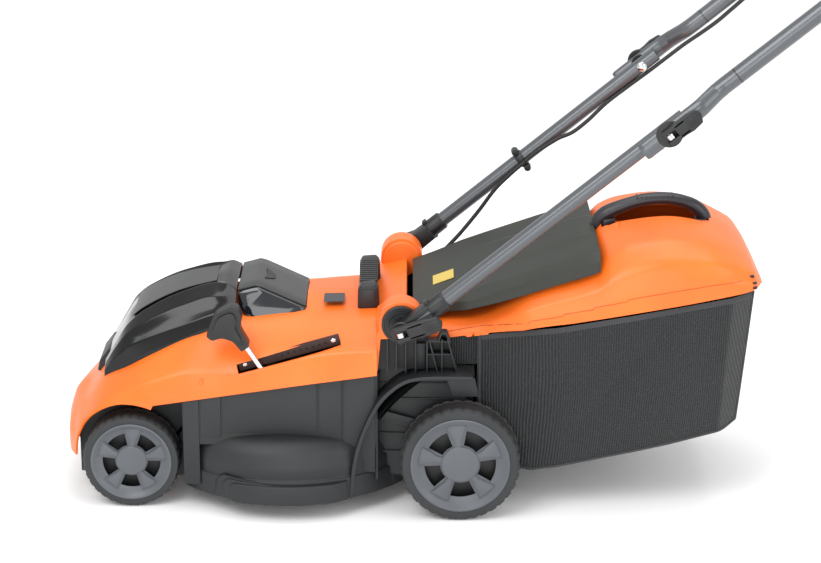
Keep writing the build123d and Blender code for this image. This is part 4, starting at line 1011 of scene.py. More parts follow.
for side, label in ((-1, "left"), (1, "right")):
    line = [(on_tube(s)[0], side * 188, on_tube(s)[1]) for s in np.linspace(-28, 449, 60)]
    lower = tube(f"lower_tube_{label}", line, 11, tube_coat, 36)
    mount(lower, "lower_handle", "tube_paint", *(["lower_tubes"] if side < 0 else []))
    # The upper tube's pressed lower end: squashed, set outside, then jogged in to full round.
    s_list = np.concatenate([np.linspace(377, 463, 24), np.linspace(466, 516, 20),
                             np.linspace(520, 540, 4)])
    ys = np.interp(s_list, [377, 462, 476, 503, 517, 540], [207.6, 207.6, 205.5, 192.1, 190, 190])
    flat = np.interp(s_list, [377, 456, 512, 540], [0.60, 0.60, 1.0, 1.0])
    wide = np.interp(s_list, [377, 380, 456, 517, 540], [11.6, 13.0, 13.0, 12.0, 12.0])
    line = [(on_tube(s)[0], side * y, on_tube(s)[1]) for s, y in zip(s_list, ys)]
    joint = tube(f"upper_end_{label}", line, wide, tube_coat, 36, squash=flat)
    mount(joint, "upper_handle", "tube_paint")

top_s, bend = 1010.0, 55.0
loop = [(on_tube(s)[0], -190.0, on_tube(s)[1]) for s in np.linspace(538, top_s - bend, 40)]
for t in np.linspace(0, math.pi / 2, 16)[1:]:
    s = top_s - bend + bend * math.sin(t)
    loop.append((on_tube(s)[0], -190 + bend * (1 - math.cos(t)), on_tube(s)[1]))
half = list(loop)
loop += [(on_tube(top_s)[0], y, on_tube(top_s)[1]) for y in np.linspace(-130, 130, 30)]
loop += [(a, -b, c) for a, b, c in half[::-1]]
normal_up = (-math.sin(slope), 0, math.cos(slope))
upper = tube("upper_loop", loop, 12, tube_coat, 36, up=normal_up)
mount(upper, "upper_handle", "tube_paint", "upper_tube")

# Sockets at the towers: a ribbed round boss, a boxed arm and a collar that grips the tube.
for side, label in ((-1, "left"), (1, "right")):
    boss = ring_stack(f"bracket_boss_{label}", px, pz, [(side * y, r) for y, r in
                      ((165.4, 26.2), (166.5, 27), (171.5, 27), (172.2, 26), (172.2, 23.5), (171.4, 23),
                       (171.4, 20.5), (172.4, 20),
                       (172.4, 17.5), (175, 17), (178, 16.4), (178, 6.2))], black_pp, 72)
    mount(boss, "lower_handle", "black_plastic", *(["handle_brackets"] if side < 0 else []))

    def box_along(name, s0, s1, r0, r1, y0, y1, ease_mm):
        """A block lying along the tube's line, from s0 to s1 and r0 to r1."""
        corners = [on_tube(s0, r0), on_tube(s1, r0), on_tube(s1, r1), on_tube(s0, r1)]
        return rounded_prism(name, corners, *sorted((side * y0, side * y1)), ease_mm, black_pp, 3)

    arm = rounded_prism(f"bracket_arm_{label}", [on_tube(-57, -12), on_tube(-20, -14), on_tube(12, -13),
                                                 on_tube(12, 12), on_tube(-16, 13), on_tube(-46, 12)],
                        *sorted((side * 172, side * 198)), 2.5, black_pp, 3)
    mount(arm, "lower_handle", "black_plastic")
    collar_line = [(on_tube(s)[0], side * 188, on_tube(s)[1]) for s in (9, 10, 34, 36)]
    collar = tube(f"bracket_collar_{label}", collar_line, [13.2, 14.2, 14.0, 12.6], black_pp, 32)
    mount(collar, "lower_handle", "black_plastic")
    ridge = box_along(f"bracket_ridge_{label}", 8, 15, 11, 17, 181, 195, 1.0)
    mount(ridge, "lower_handle", "black_plastic")

    # Cam lever over the pivot bolt: eye with plated barrel, cheeks, and a gabled finger paddle.
    def cam(name, x0, z0, tilt_deg, y_eye, length, body, node):
        tilt = math.radians(tilt_deg)

        def at(u, w):
            return (x0 + u * math.cos(tilt) - w * math.sin(tilt),
                    z0 + u * math.sin(tilt) + w * math.cos(tilt))

        cheeks = []
        for w0, w1 in ((-11, -4.6), (4.6, 11)):
            outline = [at(-8, w0), at(-8, w1), at(length * 0.62, w1 * 1.02), at(length * 0.62, w0 * 1.02)]
            cheek = rounded_prism(f"{name}_cheek_{'low' if w0 < 0 else 'high'}", outline,
                                  *sorted((side * (y_eye - 7), side * (y_eye + 6.5))), 2.2, black_pp, 3)
            cheeks.append(cheek)
        paddle = [at(10, -10), at(length * 0.66, -12.5), at(length, -10.5), at(length + 5, 0),
                  at(length, 10.5), at(length * 0.66, 12.5), at(10, 10)]
        cheeks.append(rounded_prism(f"{name}_paddle", paddle,
                                    *sorted((side * (y_eye - 1), side * (y_eye + 6.5))), 1.8, black_pp, 3))
        inner = [at(length * 0.6, -8.5), at(length - 1, -7.5), at(length + 2, 0), at(length - 1, 7.5),
                 at(length * 0.6, 8.5)]
        cheeks.append(rounded_prism(f"{name}_pad", inner, *sorted((side * (y_eye + 6),
                                                                   side * (y_eye + 7.6))), 0.6, black_pp,
                                                                   2))
        for obj in cheeks:
            mount(obj, body, "black_plastic", *([node] if obj is cheeks[0] else []))
        # Four raised ribs as a grip on the pad.
        hatch = []
        for k in range(4):
            u = length * 0.66 + 3.2 * k
            hatch.append(rounded_prism(f"{name}_rib_{k}", [at(u, -6.5), at(u + 1.3, -6.5), at(u + 1.3, 6.5),
                                                           at(u, 6.5)],
                                       *sorted((side * (y_eye + 7.2), side * (y_eye + 8.3))), 0.3, black_pp,
                                       2))
        for obj in hatch:
            mount(obj, body, "black_plastic")

    cam(f"lower_cam_{label}", px, pz, 19, 212, 56, f"lower_cam_{label}_lever", f"lower_cam_{label}")
    jx, jz = on_tube(421)
    cam(f"upper_cam_{label}", jx, jz, 39.2, 227, 46, f"upper_cam_{label}_lever", f"upper_cam_{label}")

    # Washers and seats under the cams, and the joint's round black clamp disc.
    for name, x0, z0, profile, body in (
            ("lower_seat", px, pz, ((198, 14), (201, 15), (203.4, 13.5), (203.4, 4)), "lower_handle"),
            ("upper_seat", jx, jz, ((212.5, 17), (214, 18.2), (217.8, 18), (218.6, 16.6), (218.6, 4)),
             "upper_handle"),
            ("joint_spacer", jx, jz, ((198.5, 13), (200.5, 13.6)), "upper_handle")):
        seat = ring_stack(f"{name}_{label}", x0, z0, [(side * y, r) for y, r in profile], black_pp, 48)
        mount(seat, body, "black_plastic", *(["cam_seats"] if name == "upper_seat" and side < 0 else []))
    # Domed bolt heads on the tubes' inner faces and the eyes' barrels.
    bolt = ring_stack(f"joint_bolt_head_{label}", jx, jz, [(side * y, r) for y,
                                                           r in ((177, 7.6), (175.6, 7.4), (173.6, 5.6),
                                                                 (172.4, 2.8), (172.2, 0.4))], plated_steel,
                                                                 32)
    mount(bolt, "upper_handle", "chrome_rod", *(["joint_bolts"] if side < 0 else []))
    for name, x0, z0, tilt_deg, y_eye, s_in, body in (("pivot", px, pz, 19, 212, 172, "lower_handle"),
                                                      ("joint", jx, jz, 39.2, 227, 176, "upper_handle")):
        tilt = math.radians(tilt_deg)
        shank = ring_stack(f"{name}_shank_{label}", x0, z0, [(side * s_in, 3.4), (side * (y_eye - 3), 3.4)],
                           plated_steel, 20)
        barrel = tube(f"{name}_barrel_{label}", [(x0 - w * math.sin(tilt), side * y_eye,
                                                  z0 + w * math.cos(tilt)) for w in (-10.6, -10, 10, 10.6)],
                      [2.4, 2.9, 2.9, 2.4], plated_steel, 24)
        eye = tube(f"{name}_eye_{label}", [(x0 - w * math.sin(tilt), side * y_eye,
                                            z0 + w * math.cos(tilt)) for w in (-4, -3.4, 3.4, 4)],
                   [4.8, 5.5, 5.5, 4.8], plated_steel, 28)
        for obj in (shank, barrel, eye):
            mount(obj, body, "chrome_rod",
                  *(["pivot_bolts"] if obj is shank and side < 0 and name == "pivot" else []))

# Soft foam sleeve on the cross bar.
foam = moulded("closed-cell foam", "#232325", "#1b1b1d", 0.88, 0.8, 0.12, **{"Sheen Weight": 0.2})
gx, gz = on_tube(1010)
grip = ring_stack("foam_grip", gx, gz, [(-125, 12.5), (-124.5, 14.8),
                                        (-123, 15.9)] + [(y, 16.0) for y in np.linspace(-120, 120, 9)] +
                  [(123, 15.9), (124.5, 14.8), (125, 12.5)], foam, 40)
mount(grip, "upper_handle", "foam", "foam_grip")
from_cad("switch_box", "switch_box", 3.0, black_pp, "black_plastic")
from_cad("bail", "bail_wire", 0, tube_coat, "steel")
button_red = moulded("orange switch cap", "#f0702a", "#e8641f", 0.3, 0.8, 0.01)
from_cad("start_button", "start_button", 0.8, button_red, "start_orange")


# ------------------------------------------------------------------ switch lead
# A 6 mm rubber-sheathed lead from the motor up behind the far tube to the switch. It leaves a
# grommet behind the tower, is held by one clip, and hangs a little under the tube above that.

rubber = moulded("rubber lead sheath", "#1a1a1b", "#141415", 0.55, 1.0, 0.01)


def smooth_line(points, per=8):
    """A flowing line through the points."""
    p = [np.asarray(q, float) for q in points]
    p = [2 * p[0] - p[1]] + p + [2 * p[-1] - p[-2]]
    out = []
    for a, b, c, d in zip(p, p[1:], p[2:], p[3:]):
        for t in np.linspace(0, 1, per, endpoint=False):
            out.append(0.5 * (2 * b + (c - a) * t + (2 * a - 5 * b + 4 * c - d) * t ** 2
                              + (3 * b - a - 3 * c + d) * t ** 3))
    return np.array(out + [p[-2]])


LEAD_LOW = [(-38, 153, 248), (-38, 153, 262), (-30, 158, 279), (-12, 163, 297), (8, 168, 318),
            (34, 172, 350), (58, 171, 384), (82, 171, 409), (104, 171, 429)]
LEAD_HIGH = [(104.5, 171, 429.5), (120, 171, 443), (152, 171, 464), (175, 173, 474), (198, 175, 492),
             (225, 178, 518), (256, 181, 542), (286, 181, 565), (316, 181, 589),
             (340, 181, 608), (364, 181, 625), (388, 181, 643), (410, 180, 663), (440, 178, 690),
             (480, 176, 716), (520, 175, 750), (560, 175, 779), (592, 175, 808)]
low_line = smooth_line(LEAD_LOW)
lead_low = tube("lead_lower", low_line, 3, rubber, 14)
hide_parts("cable_lower")
metres(-38, 153, 252)
metres(50, 172, 375)
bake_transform(lead_low)
high_line = smooth_line(LEAD_HIGH)
lead_high = tube("lead_upper", high_line, 3, rubber, 14)
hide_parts("cable_upper")
metres(225, 178, 518)
metres(340, 181, 608)
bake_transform(lead_high)
for name, s, gap in (("clip", 190, 7.0),):
    cx, cz = on_tube(s)
    band_line = [(on_tube(s + d)[0], 188, on_tube(s + d)[1]) for d in (-6, -5, 5, 6)]
    clip = tube(f"lead_{name}", band_line, [12.6, 13.3, 13.3, 12.6], black_pp, 32)
    mount(clip, "lower_handle", "black_plastic", "cable_clips")
    for k, rise in enumerate((15.5, -15.5)):
        kx, kz = on_tube(s, rise)
        knob_piece = ring_stack(f"lead_{name}_knob_{k}", kx, kz, [(177, 2.0), (177.5, 5.2), (191, 5.6),
                                                                  (192, 4.6), (192.5, 1.0)], black_pp, 24)
        mount(knob_piece, "lower_handle", "black_plastic")


# ------------------------------------------------------------------ rear cover
# Sprung rear flap over the grass chute: olive-grey polypropylene with turned-down flanks and a
# shallow tapered panel pressed up along its middle. It hangs on a steel rod between the towers.

olive_pp = moulded("olive-grey moulded polypropylene", "#252821", "#20231d", 0.55, 0.8, 0.04)
FLAP = [
    (-67, [(113, 284), (117, 289), (107, 294.5), (62, 295.5), (52, 295.5), (0, 295.5)]),
    (-42, [(117.5, 286.5), (119.5, 296), (110, 303), (64, 304), (53, 304), (0, 304)]),
    (-20, [(122, 290), (122.5, 303), (113, 311), (66, 312), (54, 312), (0, 312)]),
    (10, [(138, 298), (137, 311), (122, 321), (64, 322), (52, 322.5), (0, 322.5)]),
    (60, [(143, 312), (141, 327), (124, 338), (60, 339), (48, 341.5), (0, 341.5)]),
    (150, [(145, 341), (143, 356), (125, 368), (52, 369), (42, 372), (0, 372)]),
    (188, [(145, 353), (143, 368), (125, 380), (47, 381), (38, 383), (0, 383)]),
    (196, [(144.5, 356), (142.5, 370), (124, 381), (47, 382), (38, 382.5), (0, 382.5)]),
]
stops = np.concatenate([np.linspace(-67, 186, 60), np.linspace(188, 196, 5)])
rows = shell_rows(FLAP, (0.25, 0.3, 0.2, 0.2), stops)
flap = piece("rear_flap", rows.reshape(-1, 3), grid_faces(*rows.shape[:2]), olive_pp, smooth=24)
modify(flap, "SOLIDIFY", thickness=0.003, offset=-1)
modify(flap, "BEVEL", width=0.0009, segments=2, limit_method="ANGLE", angle_limit=math.radians(40))
settled(flap, 26)
mount(flap, "rear_flap", "dark_grey_plastic", "flap")
label_yellow = moulded("plain yellow label film", "#cbb04a", "#c2a640", 0.35, 2.0, 0.002)
LABEL = [(-38, 305.8), (-8, 317.0), (-8, 317.6), (-38, 306.4)]
sticker = prism("flap_label", LABEL, -52, -12, label_yellow)
mount(sticker, "rear_flap", "dark_grey_plastic")


# ------------------------------------------------------------------ grass bag
# Hard orange ABS top with a carrying well, over a knitted polyester net bag that is welted to
# its rim, hemmed along the seams and hung on a steel wire mouth. The net sags between them.

TOP = [
    (-46, [(130.5, 246), (131, 255), (129.5, 264), (112, 273), (0, 275)]),
    (26, [(138, 252), (138.5, 262), (136, 272), (118, 285), (0, 288)]),
    (60, [(147, 262), (148, 273), (144, 286), (121, 301), (0, 304)]),
    (100, [(160, 277), (161, 290), (157, 306), (127, 325), (0, 329)]),
    (190, [(166, 291), (167, 312), (159, 335), (124, 357), (0, 368)]),
    (212, [(167, 295), (168, 320), (160, 349), (124, 379), (0, 392)]),
    (240, [(167.5, 300), (168, 328), (160, 361), (124, 391), (0, 400)]),
    (300, [(168, 309), (168, 338), (158, 374), (118, 399), (0, 406)]),
    (345, [(166, 317), (166, 343), (154, 374), (106, 393), (0, 400)]),
    (380, [(163, 326), (163, 345), (147, 366), (92, 380), (0, 386)]),
    (412, [(150, 330), (150, 342), (130, 353), (76, 359), (0, 362)]),
    (421, [(134, 331), (134, 337), (112, 343), (62, 346), (0, 348)]),
    (427, [(116, 330), (116, 333), (98, 335), (50, 336), (0, 337)]),
]
TOP_TURN = (0.6, 0.55, 0.5)
LOWER = ([-46, 26, 139, 381, 427], [249, 262, 283, 327, 333])
stops = np.concatenate([np.linspace(-46, 206, 70), np.linspace(209, 420, 62), np.linspace(421.5, 427, 8)])
rows = shell_rows(TOP, TOP_TURN, stops)
for line, x in zip(rows, stops):
    edge = float(np.interp(x, *LOWER))
    low = line[:, 2] < edge
    line[low, 2] = edge
top = piece("bag_top", rows.reshape(-1, 3), grid_faces(*rows.shape[:2]), orange_abs, smooth=26)
bag_rows, bag_stops = rows, stops
modify(top, "SOLIDIFY", thickness=0.0028, offset=-1)
settled(top)
WELL = (206.0, 362.0, 33.0, 356.0)
x0, x1, half, z0 = WELL
well_plan = [(x0, -24), (x0 + 10, -half), (x1 - 14, -half), (x1, -20), (x1, 20), (x1 - 14, half),
             (x0 + 10, half), (x0, 24)]


def upright_block(name, plan, z_low, z_high, material):
    n = len(plan)
    points = [(x, y, z_low) for x, y in plan] + [(x, y, z_high) for x, y in plan]
    faces = [tuple(range(n)), tuple(range(2 * n - 1, n - 1, -1))] + [(i, n + i, n + (i + 1) % n,
                                                                      (i + 1) % n) for i in range(n)]
    return piece(name, points, faces, material)


carve(top, upright_block("well_cutter", well_plan, z0, 440, orange_abs))
modify(top, "BEVEL", width=0.0016, segments=3, limit_method="ANGLE", angle_limit=math.radians(52))
settled(top, 34)
mount(top, "grass_bag", "orange_plastic", "bag_top")
wall_points = []
for z in (z0, 376.0):
    wall_points += [(x, y, z) for x, y in well_plan]
n = len(well_plan)
well = piece("bag_well", wall_points, [tuple(range(n))] + [(i, n + i, n + (i + 1) % n,
                                                            (i + 1) % n) for i in range(n)], orange_abs)
modify(well, "SOLIDIFY", thickness=0.0022, offset=0)
settled(well)
mount(well, "grass_bag", "orange_plastic")


def top_side(x, z):
    """How far out the hard top's flank stands at a place along it and a height."""
    k = int(np.argmin(np.abs(bag_stops - x)))
    line = bag_rows[k]
    near = line[: line.shape[0] // 2 + 1]
    order = np.argsort(near[:, 2], kind="stable")
    return float(np.interp(z, near[order, 2], -near[order, 1]))


# Parting line of the two top mouldings: a thin darker orange tube of painted shade marks the gap, with
# castellated steps along the flank.
STEPS = [(-40, 259), (30, 273), (96, 285.5), (97.5, 288.5), (143, 297), (144.5, 300), (186, 308),
         (187.5, 311), (233, 320),
         (234.5, 323), (300, 335), (352, 343), (400, 348)]
parting_gap_shade = moulded("shadowed orange gap", "#a8410f", "#94380c", 0.7, 1.0, 0.01)
for side, label in ((-1, "left"), (1, "right")):
    line = []
    for (xa, za), (xb, zb) in zip(STEPS, STEPS[1:]):
        for t in np.linspace(0, 1, max(2, int(abs(xb - xa) / 5)), endpoint=False):
            x, z = xa + (xb - xa) * t, za + (zb - za) * t
            line.append((x, side * (top_side(x, z) - 0.15), z))
    gap = tube(f"bag_parting_{label}", line, 0.55, parting_gap_shade, 6)
    mount(gap, "grass_bag", "orange_plastic")

# Slots of the rear vent in three short steps, not cut: black blocks set into the flank give their dark
# openings as painted shade.
for side, label in ((-1, "left"), (1, "right")):
    for k, (x, z, long_) in enumerate(((407, 349, 9), (408, 341, 13), (411, 334.5, 9))):
        y = top_side(x, z)
        vent = rounded_prism(f"bag_vent_{label}_{k}", [(x - long_ / 2, z - 1.8), (x + long_ / 2, z - 1.0),
                                                       (x + long_ / 2, z + 1.9), (x - long_ / 2, z + 1.6)],
                             *sorted((side * (y - 5), side * (y + 0.5))), 0.4, black_pp, 2)
        mount(vent, "grass_bag", "black_plastic")

# Arched carrying grip in black nylon, thick at its feet, set into the well.
black_nylon = moulded("black glass-filled nylon", "#232328", "#1c1c21", 0.36, 0.9, 0.03)
GRIP = [(200, 380), (205, 391), (222, 403), (262, 417.5), (300, 421), (332, 414.5), (350, 402), (357, 389),
        (358, 372)]
line = smooth_line([(x, 0, z) for x, z in GRIP], 7)
wide = np.interp(line[:, 0], [200, 214, 250, 330, 348, 358], [10.5, 11, 9, 9, 10.5, 10.5])
bar = tube("bag_grip", line, wide, black_nylon, 24, squash=np.interp(line[:, 0], [200, 240, 335, 358],
                                                                     [1.05, 1.25, 1.25, 1.05]))
mount(bar, "grass_bag", "black_plastic", "bag_grip")
for k, (xa, xb, z) in enumerate(((206.5, 228, 384), (340, 361, 384))):
    foot = rounded_prism(f"bag_grip_foot_{k}", [(xa, z0 + 1), (xb, z0 + 1), (xb - 2, z + 10),
                                                (xa + 2, z + 8)], -12, 12, 2.5, black_nylon, 3)
    mount(foot, "grass_bag", "black_plastic")
ribs = repeated("bag_grip_ribs", 9, (0.0064, 0, 0.0003), (0.0022, 0.019, 0.0016), metres(258, 0, 424.6),
                black_nylon, 0.0004)
mount(ribs, "grass_bag", "black_plastic")


# The net bag itself: a tall tub of ribbed polyester knit, fuller low down, pulled in at the
# hems, with slack waves between the welt and the bottom seam.

def knitted_net(name):
    """Raschel-knit polyester: upright ribs about 3 mm apart with fine rungs between them, with small
    painted glints: bright specks mixed into the base colour as painted highlights. The real mesh is finer;
    it is drawn coarse enough to show."""
    material, tree, out, place = new_material(name)
    parts = add(tree, "ShaderNodeSeparateXYZ", {}, {"Vector": place})
    sway = add(tree, "ShaderNodeTexNoise", {"Scale": 26, "Detail": 2}, {"Vector": place})
    lean_ = add(tree, "ShaderNodeMath", {"operation": "MULTIPLY", 1: 0.0022}, {0: sway.outputs["Fac"]})
    across = add(tree, "ShaderNodeMath", {"operation": "ADD"}, {0: parts.outputs["X"],
                                                                1: parts.outputs["Y"]})
    shifted = add(tree, "ShaderNodeMath", {"operation": "ADD"}, {0: across.outputs[0], 1: lean_.outputs[0]})
    rib_phase = add(tree, "ShaderNodeMath", {"operation": "MULTIPLY", 1: 2 * math.pi / 0.0033},
                    {0: shifted.outputs[0]})
    rib_wave = add(tree, "ShaderNodeMath", {"operation": "SINE"}, {0: rib_phase.outputs[0]})
    rung_phase = add(tree, "ShaderNodeMath", {"operation": "MULTIPLY", 1: 2 * math.pi / 0.0026},
                     {0: parts.outputs["Z"]})
    rung_wave = add(tree, "ShaderNodeMath", {"operation": "SINE"}, {0: rung_phase.outputs[0]})
    knit = add(tree, "ShaderNodeMath", {"operation": "MULTIPLY_ADD", 1: 0.35},
               {0: rung_wave.outputs[0], 2: rib_wave.outputs[0]})
    # Painted highlight: bright specks of noise lighten the base colour as small glints.
    speck = add(tree, "ShaderNodeTexNoise", {"Scale": 620, "Detail": 1}, {"Vector": place})
    glint = add(tree, "ShaderNodeMapRange", {"From Min": 0.55, "From Max": 0.72},
                {"Value": speck.outputs["Fac"]})
    lit = add(tree, "ShaderNodeMapRange", {"From Min": -0.6, "From Max": 1.35, "To Min": 0.0,
                                           "To Max": 0.55}, {"Value": knit.outputs[0]})
    mixed = add(tree, "ShaderNodeMath", {"operation": "MULTIPLY_ADD", 1: 0.45},
                {0: glint.outputs["Result"], 2: lit.outputs["Result"]})
    tone = add(tree, "ShaderNodeValToRGB", {}, {"Fac": mixed.outputs[0]})
    tone.color_ramp.elements[0].color = linear("#0b0c0d")
    tone.color_ramp.elements[1].color = linear("#373a3d")
    bump = add(tree, "ShaderNodeBump", {"Distance": 0.0008, "Strength": 0.8}, {"Height": knit.outputs[0]})
    surface = add(tree, "ShaderNodeBsdfPrincipled", {"Roughness": 0.72, "Sheen Weight": 0.25,
                                                     "Sheen Roughness": 0.4},
                  {"Base Color": tone.outputs["Color"], "Normal": bump.outputs["Normal"]})
    tree.links.new(surface.outputs["BSDF"], out.inputs["Surface"])
    return material


net = knitted_net("ribbed polyester net")
welt = moulded("woven welt tape", "#26272b", "#1c1d20", 0.6, 0.7, 0.25, **{"Sheen Weight": 0.3})

FLOOR = ([26, 102, 389, 412], [70, 59, 123, 136])
ROOF = ([26, 139, 381, 412], [258.5, 279.5, 323.5, 329])


def tail_lean(x, t):
    """The rear panel leans forward towards its foot, hung from the hard top."""
    return -17.0 * (1 - t) * max(0.0, (x - 300) / 112)


def net_half_width(x, t):
    """Half width of the bag along its length, at a share t of its height from the floor."""
    waist = np.interp(x, [26, 60, 140, 250, 380, 412], [135, 141, 163, 165.5, 162, 146])
    low = np.interp(x, [26, 60, 140, 250, 380, 412], [133, 139, 157, 159, 155, 142])
    swell = np.interp(x, [26, 120, 300, 412], [0.1, 1, 1, 0.4])
    belly = 3.2 * math.sin(math.pi * min(1.0, t * 1.05)) * swell
    loose = np.interp(x, [26, 90, 390, 412], [0, 1, 1, 0])
    slack = 1.3 * math.sin(x / 23.0 + 2.6 * t) * math.sin(math.pi * t) * loose
    crease = -1.6 * math.exp(-((x - 120 - 190 * t) / 16) ** 2) * math.sin(math.pi * t)
    return low + (waist - low) * t ** 0.7 + (belly + slack + crease) * 0.8


points, levels = [], np.linspace(0, 1, 34)
xs = np.concatenate([np.linspace(26, 396, 90), np.linspace(400, 411, 6)])
section = []
for x in xs:
    lo, hi = float(np.interp(x, *FLOOR)), float(np.interp(x, *ROOF))
    left = [(x + tail_lean(x, t), -net_half_width(x, t), lo + (hi - lo) * t) for t in levels[::-1]]
    floor_w = net_half_width(x, 0)
    sag = [(x + tail_lean(x, 0), y,
            lo - 2.0 * (1 - (y / floor_w) ** 2) * math.sin(math.pi * min(1, max(0, (x - 26) / 386))))
           for y in np.linspace(-floor_w, floor_w, 26)[1:-1]]
    right = [(x + tail_lean(x, t), net_half_width(x, t), lo + (hi - lo) * t) for t in levels]
    section.append(left + sag + right)
section = np.array(section)
net_tub = piece("bag_net", section.reshape(-1, 3), grid_faces(*section.shape[:2]), net, smooth=60)
back_rows = []
for t in levels:
    lo, hi = float(np.interp(411, *FLOOR)), float(np.interp(411, *ROOF))
    w = net_half_width(411, t)
    back_rows.append([(411 + tail_lean(411, t) + 1.0 * math.sin(math.pi * t) * (1 - (y / w) ** 2), y,
                       lo + (hi - lo) * t) for y in np.linspace(-w, w, 40)])
back_rows = np.array(back_rows)
net_back = piece("bag_net_back", back_rows.reshape(-1, 3), grid_faces(*back_rows.shape[:2]), net, smooth=60)
for obj in (net_tub, net_back):
    modify(obj, "SOLIDIFY", thickness=0.0011, offset=0)
    settled(obj, 60)
mount(net_tub, "grass_bag", "bag_net", "bag_fabric")
mount(net_back, "grass_bag", "bag_net")

# Short net cheeks run forward from the mouth, inside the housing's ribbed walls.
for side, label in ((-1, "left"), (1, "right")):
    line = [(x, side * (130.6 + (x + 44) * 0.05)) for x in np.linspace(-44, 27, 16)]
    cheek = plan_wall(f"bag_cheek_{label}", line, 214.5, lambda x: 249 + (x + 46) * 0.18, 1.2, net, side)
    mount(cheek, "grass_bag", "bag_net")

# Welts: doubled tape along the rim, the bottom seams, the rear corners and the mouth.
seams = []
for side, label in ((-1, "left"), (1, "right")):
    rim_line = [(x, side * (net_half_width(x, 1.0) + 0.6),
                 float(np.interp(x, *ROOF)) - 4) for x in np.linspace(30, 408, 60)]
    seams.append(tube(f"bag_rim_welt_{label}", rim_line, 4.2, welt, 10, squash=[0.28] * 60))
    foot_line = [(x + tail_lean(x, 0), side * (net_half_width(x, 0) + 0.2),
                  float(np.interp(x, *FLOOR)) - 0.5) for x in np.linspace(27, 411, 60)]
    seams.append(tube(f"bag_foot_piping_{label}", foot_line, 1.9, welt, 10))
    corner = [(411.0 + tail_lean(411, t), side * net_half_width(411, t),
               float(np.interp(411, *FLOOR))
               + t * (float(np.interp(411, *ROOF)) - float(np.interp(411, *FLOOR))))
              for t in np.linspace(0, 1, 24)]
    seams.append(tube(f"bag_corner_piping_{label}", corner, 1.8, welt, 10, up=(1, 0, 0)))
    mouth = [(27.0, side * net_half_width(27, t),
              float(np.interp(27, *FLOOR))
              + t * (float(np.interp(27, *ROOF)) - float(np.interp(27, *FLOOR))))
             for t in np.linspace(0, 1, 24)]
    seams.append(tube(f"bag_mouth_welt_{label}", mouth, 2.4, welt, 10, up=(1, 0, 0)))
back_foot = [(411.0 + tail_lean(411, 0), y, 135.5) for y in np.linspace(-141, 141, 30)]
seams.append(tube("bag_back_piping", back_foot, 1.8, welt, 10, up=(1, 0, 0)))
for obj in seams:
    mount(obj, "grass_bag", "bag_net")


# The tub is one wrap of net cut as a long trapezium; the rear panel is a second, smaller cut.
from_cad("bag_frame", "bag_mouth_frame", 0.8, tube_coat, "tube_paint")


# ------------------------------------------------------------------ small hood marks
# One raised drop on each flank, above the rim behind the front wheel. It is part of the hood's
# own orange ABS moulding, with its point towards the crest.

DROP = (-367.6, 193.0)
station = hood_rows[int(np.argmin(np.abs(hood_rows[:, 0, 0] - DROP[0])))]
near = station[: len(station) // 2 + 1]
drop_y = float(np.interp(DROP[1], near[:, 2], -near[:, 1]))
drop_line = arc_points(DROP[0], DROP[1], 3.2, 150, 390, 18) + [(DROP[0] + 1.8, DROP[1] + 8.5)]
for side, label in ((-1, "left"), (1, "right")):
    drop = rounded_prism(f"hood_drop_{label}", drop_line, *sorted((side * (drop_y - 4),
                                                                   side * (drop_y + 1.3))), 0.8, orange_abs,
                                                                   3)
    mount(drop, "mower_body", "orange_plastic")


# ------------------------------------------------------------------ inner works
# What sits behind the covers keeps its designed shape: motor, controller, battery and running
# gear. Each gets the finish of the real part, seen when a lid, flap or bag is open.

painted_case = moulded("black nylon battery case", "#26272b", "#1d1e22", 0.5, 0.9, 0.06)
board_case = moulded("potted controller case", "#1c2724", "#17211e", 0.45, 1.2, 0.03)
brass = metal("nickel-plated brass contacts", "#c9b98c", 0.28)
steel_dark = metal("phosphated steel", "#4a4b4d", 0.48)
blade_coat = moulded("powder-coated blade steel", "#2d2f32", "#222427", 0.42, 0.8, 0.03)
key_red = moulded("red nylon safety key", "#a92a20", "#94231a", 0.4, 1.0, 0.03)


def dressed(material, *nodes):
    """Puts a finish on CAD nodes that are shown as they were designed."""
    for node in nodes:
        mesh = frame["nodes"][node].data
        mesh.materials.clear()
        mesh.materials.append(material)


for material, nodes in (
        (painted_case, ("battery", "battery_bay")), (board_case, ("controller",)),
        (brass, ("battery_terminals",)),
        (steel_dark, ("motor", "motor_screws", "draw_bar", "spindle", "blade_bolt")),
        (blade_coat, ("blade",)),
        (plated_steel, ("front_axle", "rear_axle", "flap_rod", "flap_spring")), (key_red, ("safety_key",)),
        (black_pp, ("axle_bushes", "cable_grommet", "cooling_fan"))):
    dressed(material, *nodes)


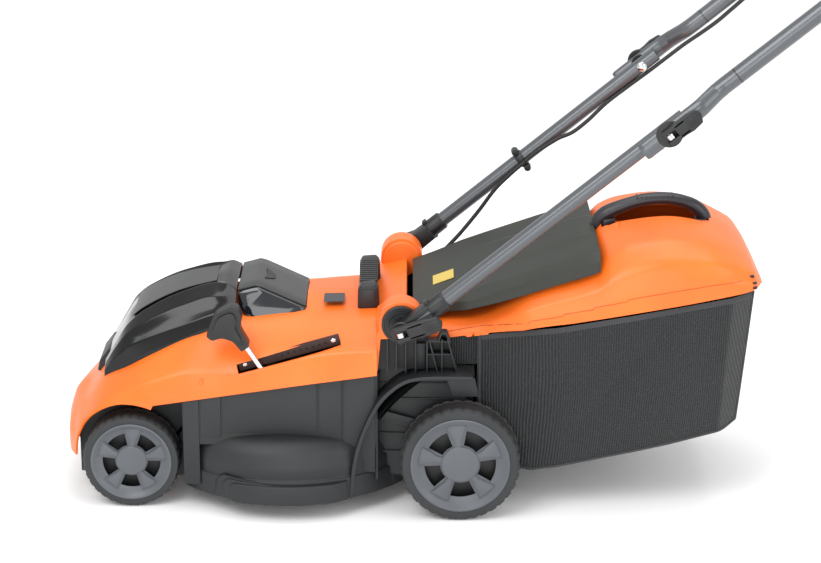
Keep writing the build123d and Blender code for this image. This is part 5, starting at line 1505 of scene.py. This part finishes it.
# ------------------------------------------------------------------ studio
# A pale seamless floor, broad soft lights and a viewpoint a little above the deck, square to
# the mower's left side.

seamless, tree, out, place = new_material("pale seamless paper")
fibre = add(tree, "ShaderNodeTexNoise", {"Scale": 900, "Detail": 2}, {"Vector": place})
paper = add(tree, "ShaderNodeMix", {"data_type": "RGBA", 6: linear("#f7f7f7"), 7: linear("#fbfbfb")},
            {0: fibre.outputs["Fac"]})
surface = add(tree, "ShaderNodeBsdfPrincipled", {"Roughness": 0.9}, {"Base Color": paper.outputs[2]})
tree.links.new(surface.outputs["BSDF"], out.inputs["Surface"])
ground = piece("studio_floor", [(-9000, -9000, 0), (9000, -9000, 0), (9000, 9000, 0), (-9000, 9000, 0)],
               [(0, 1, 2, 3)], seamless)

world = bpy.data.worlds.new("studio")
world.use_nodes = True
world.node_tree.nodes["Background"].inputs["Color"].default_value = linear("#ffffff")
world.node_tree.nodes["Background"].inputs["Strength"].default_value = 0.85
bpy.context.scene.world = world
bpy.context.scene.view_settings.view_transform = "Standard"
for name, spot, aim, size, power in (
        ("key_light", (-1.6, -2.2, 3.2), (0, 0, 0.25), 2.2, 75),
        ("fill_light", (2.4, -1.9, 1.6), (0, 0, 0.3), 2.0, 30),
        ("front_light", (-0.3, -3.4, 0.9), (0, 0, 0.2), 1.6, 26),
        ("top_light", (0.2, 0.6, 3.6), (0, 0, 0.3), 2.6, 55)):
    lamp = bpy.data.lights.new(name, "AREA")
    lamp.shape = "SQUARE"
    lamp.size = size
    lamp.energy = power
    light = bpy.data.objects.new(name, lamp)
    light.location = spot
    light.rotation_euler = (Vector(aim) - Vector(spot)).to_track_quat("-Z", "Y").to_euler()
    bpy.context.scene.collection.objects.link(light)

LENS_MM = 100.85
lens = bpy.data.cameras.new("view")
lens.lens = LENS_MM
camera = bpy.data.objects.new("view", lens)
camera.location = (-0.15885, -3.2021, 1.3711)
camera.rotation_euler = (math.radians(71.4), 0, 0)
bpy.context.scene.collection.objects.link(camera)
bpy.context.scene.camera = camera
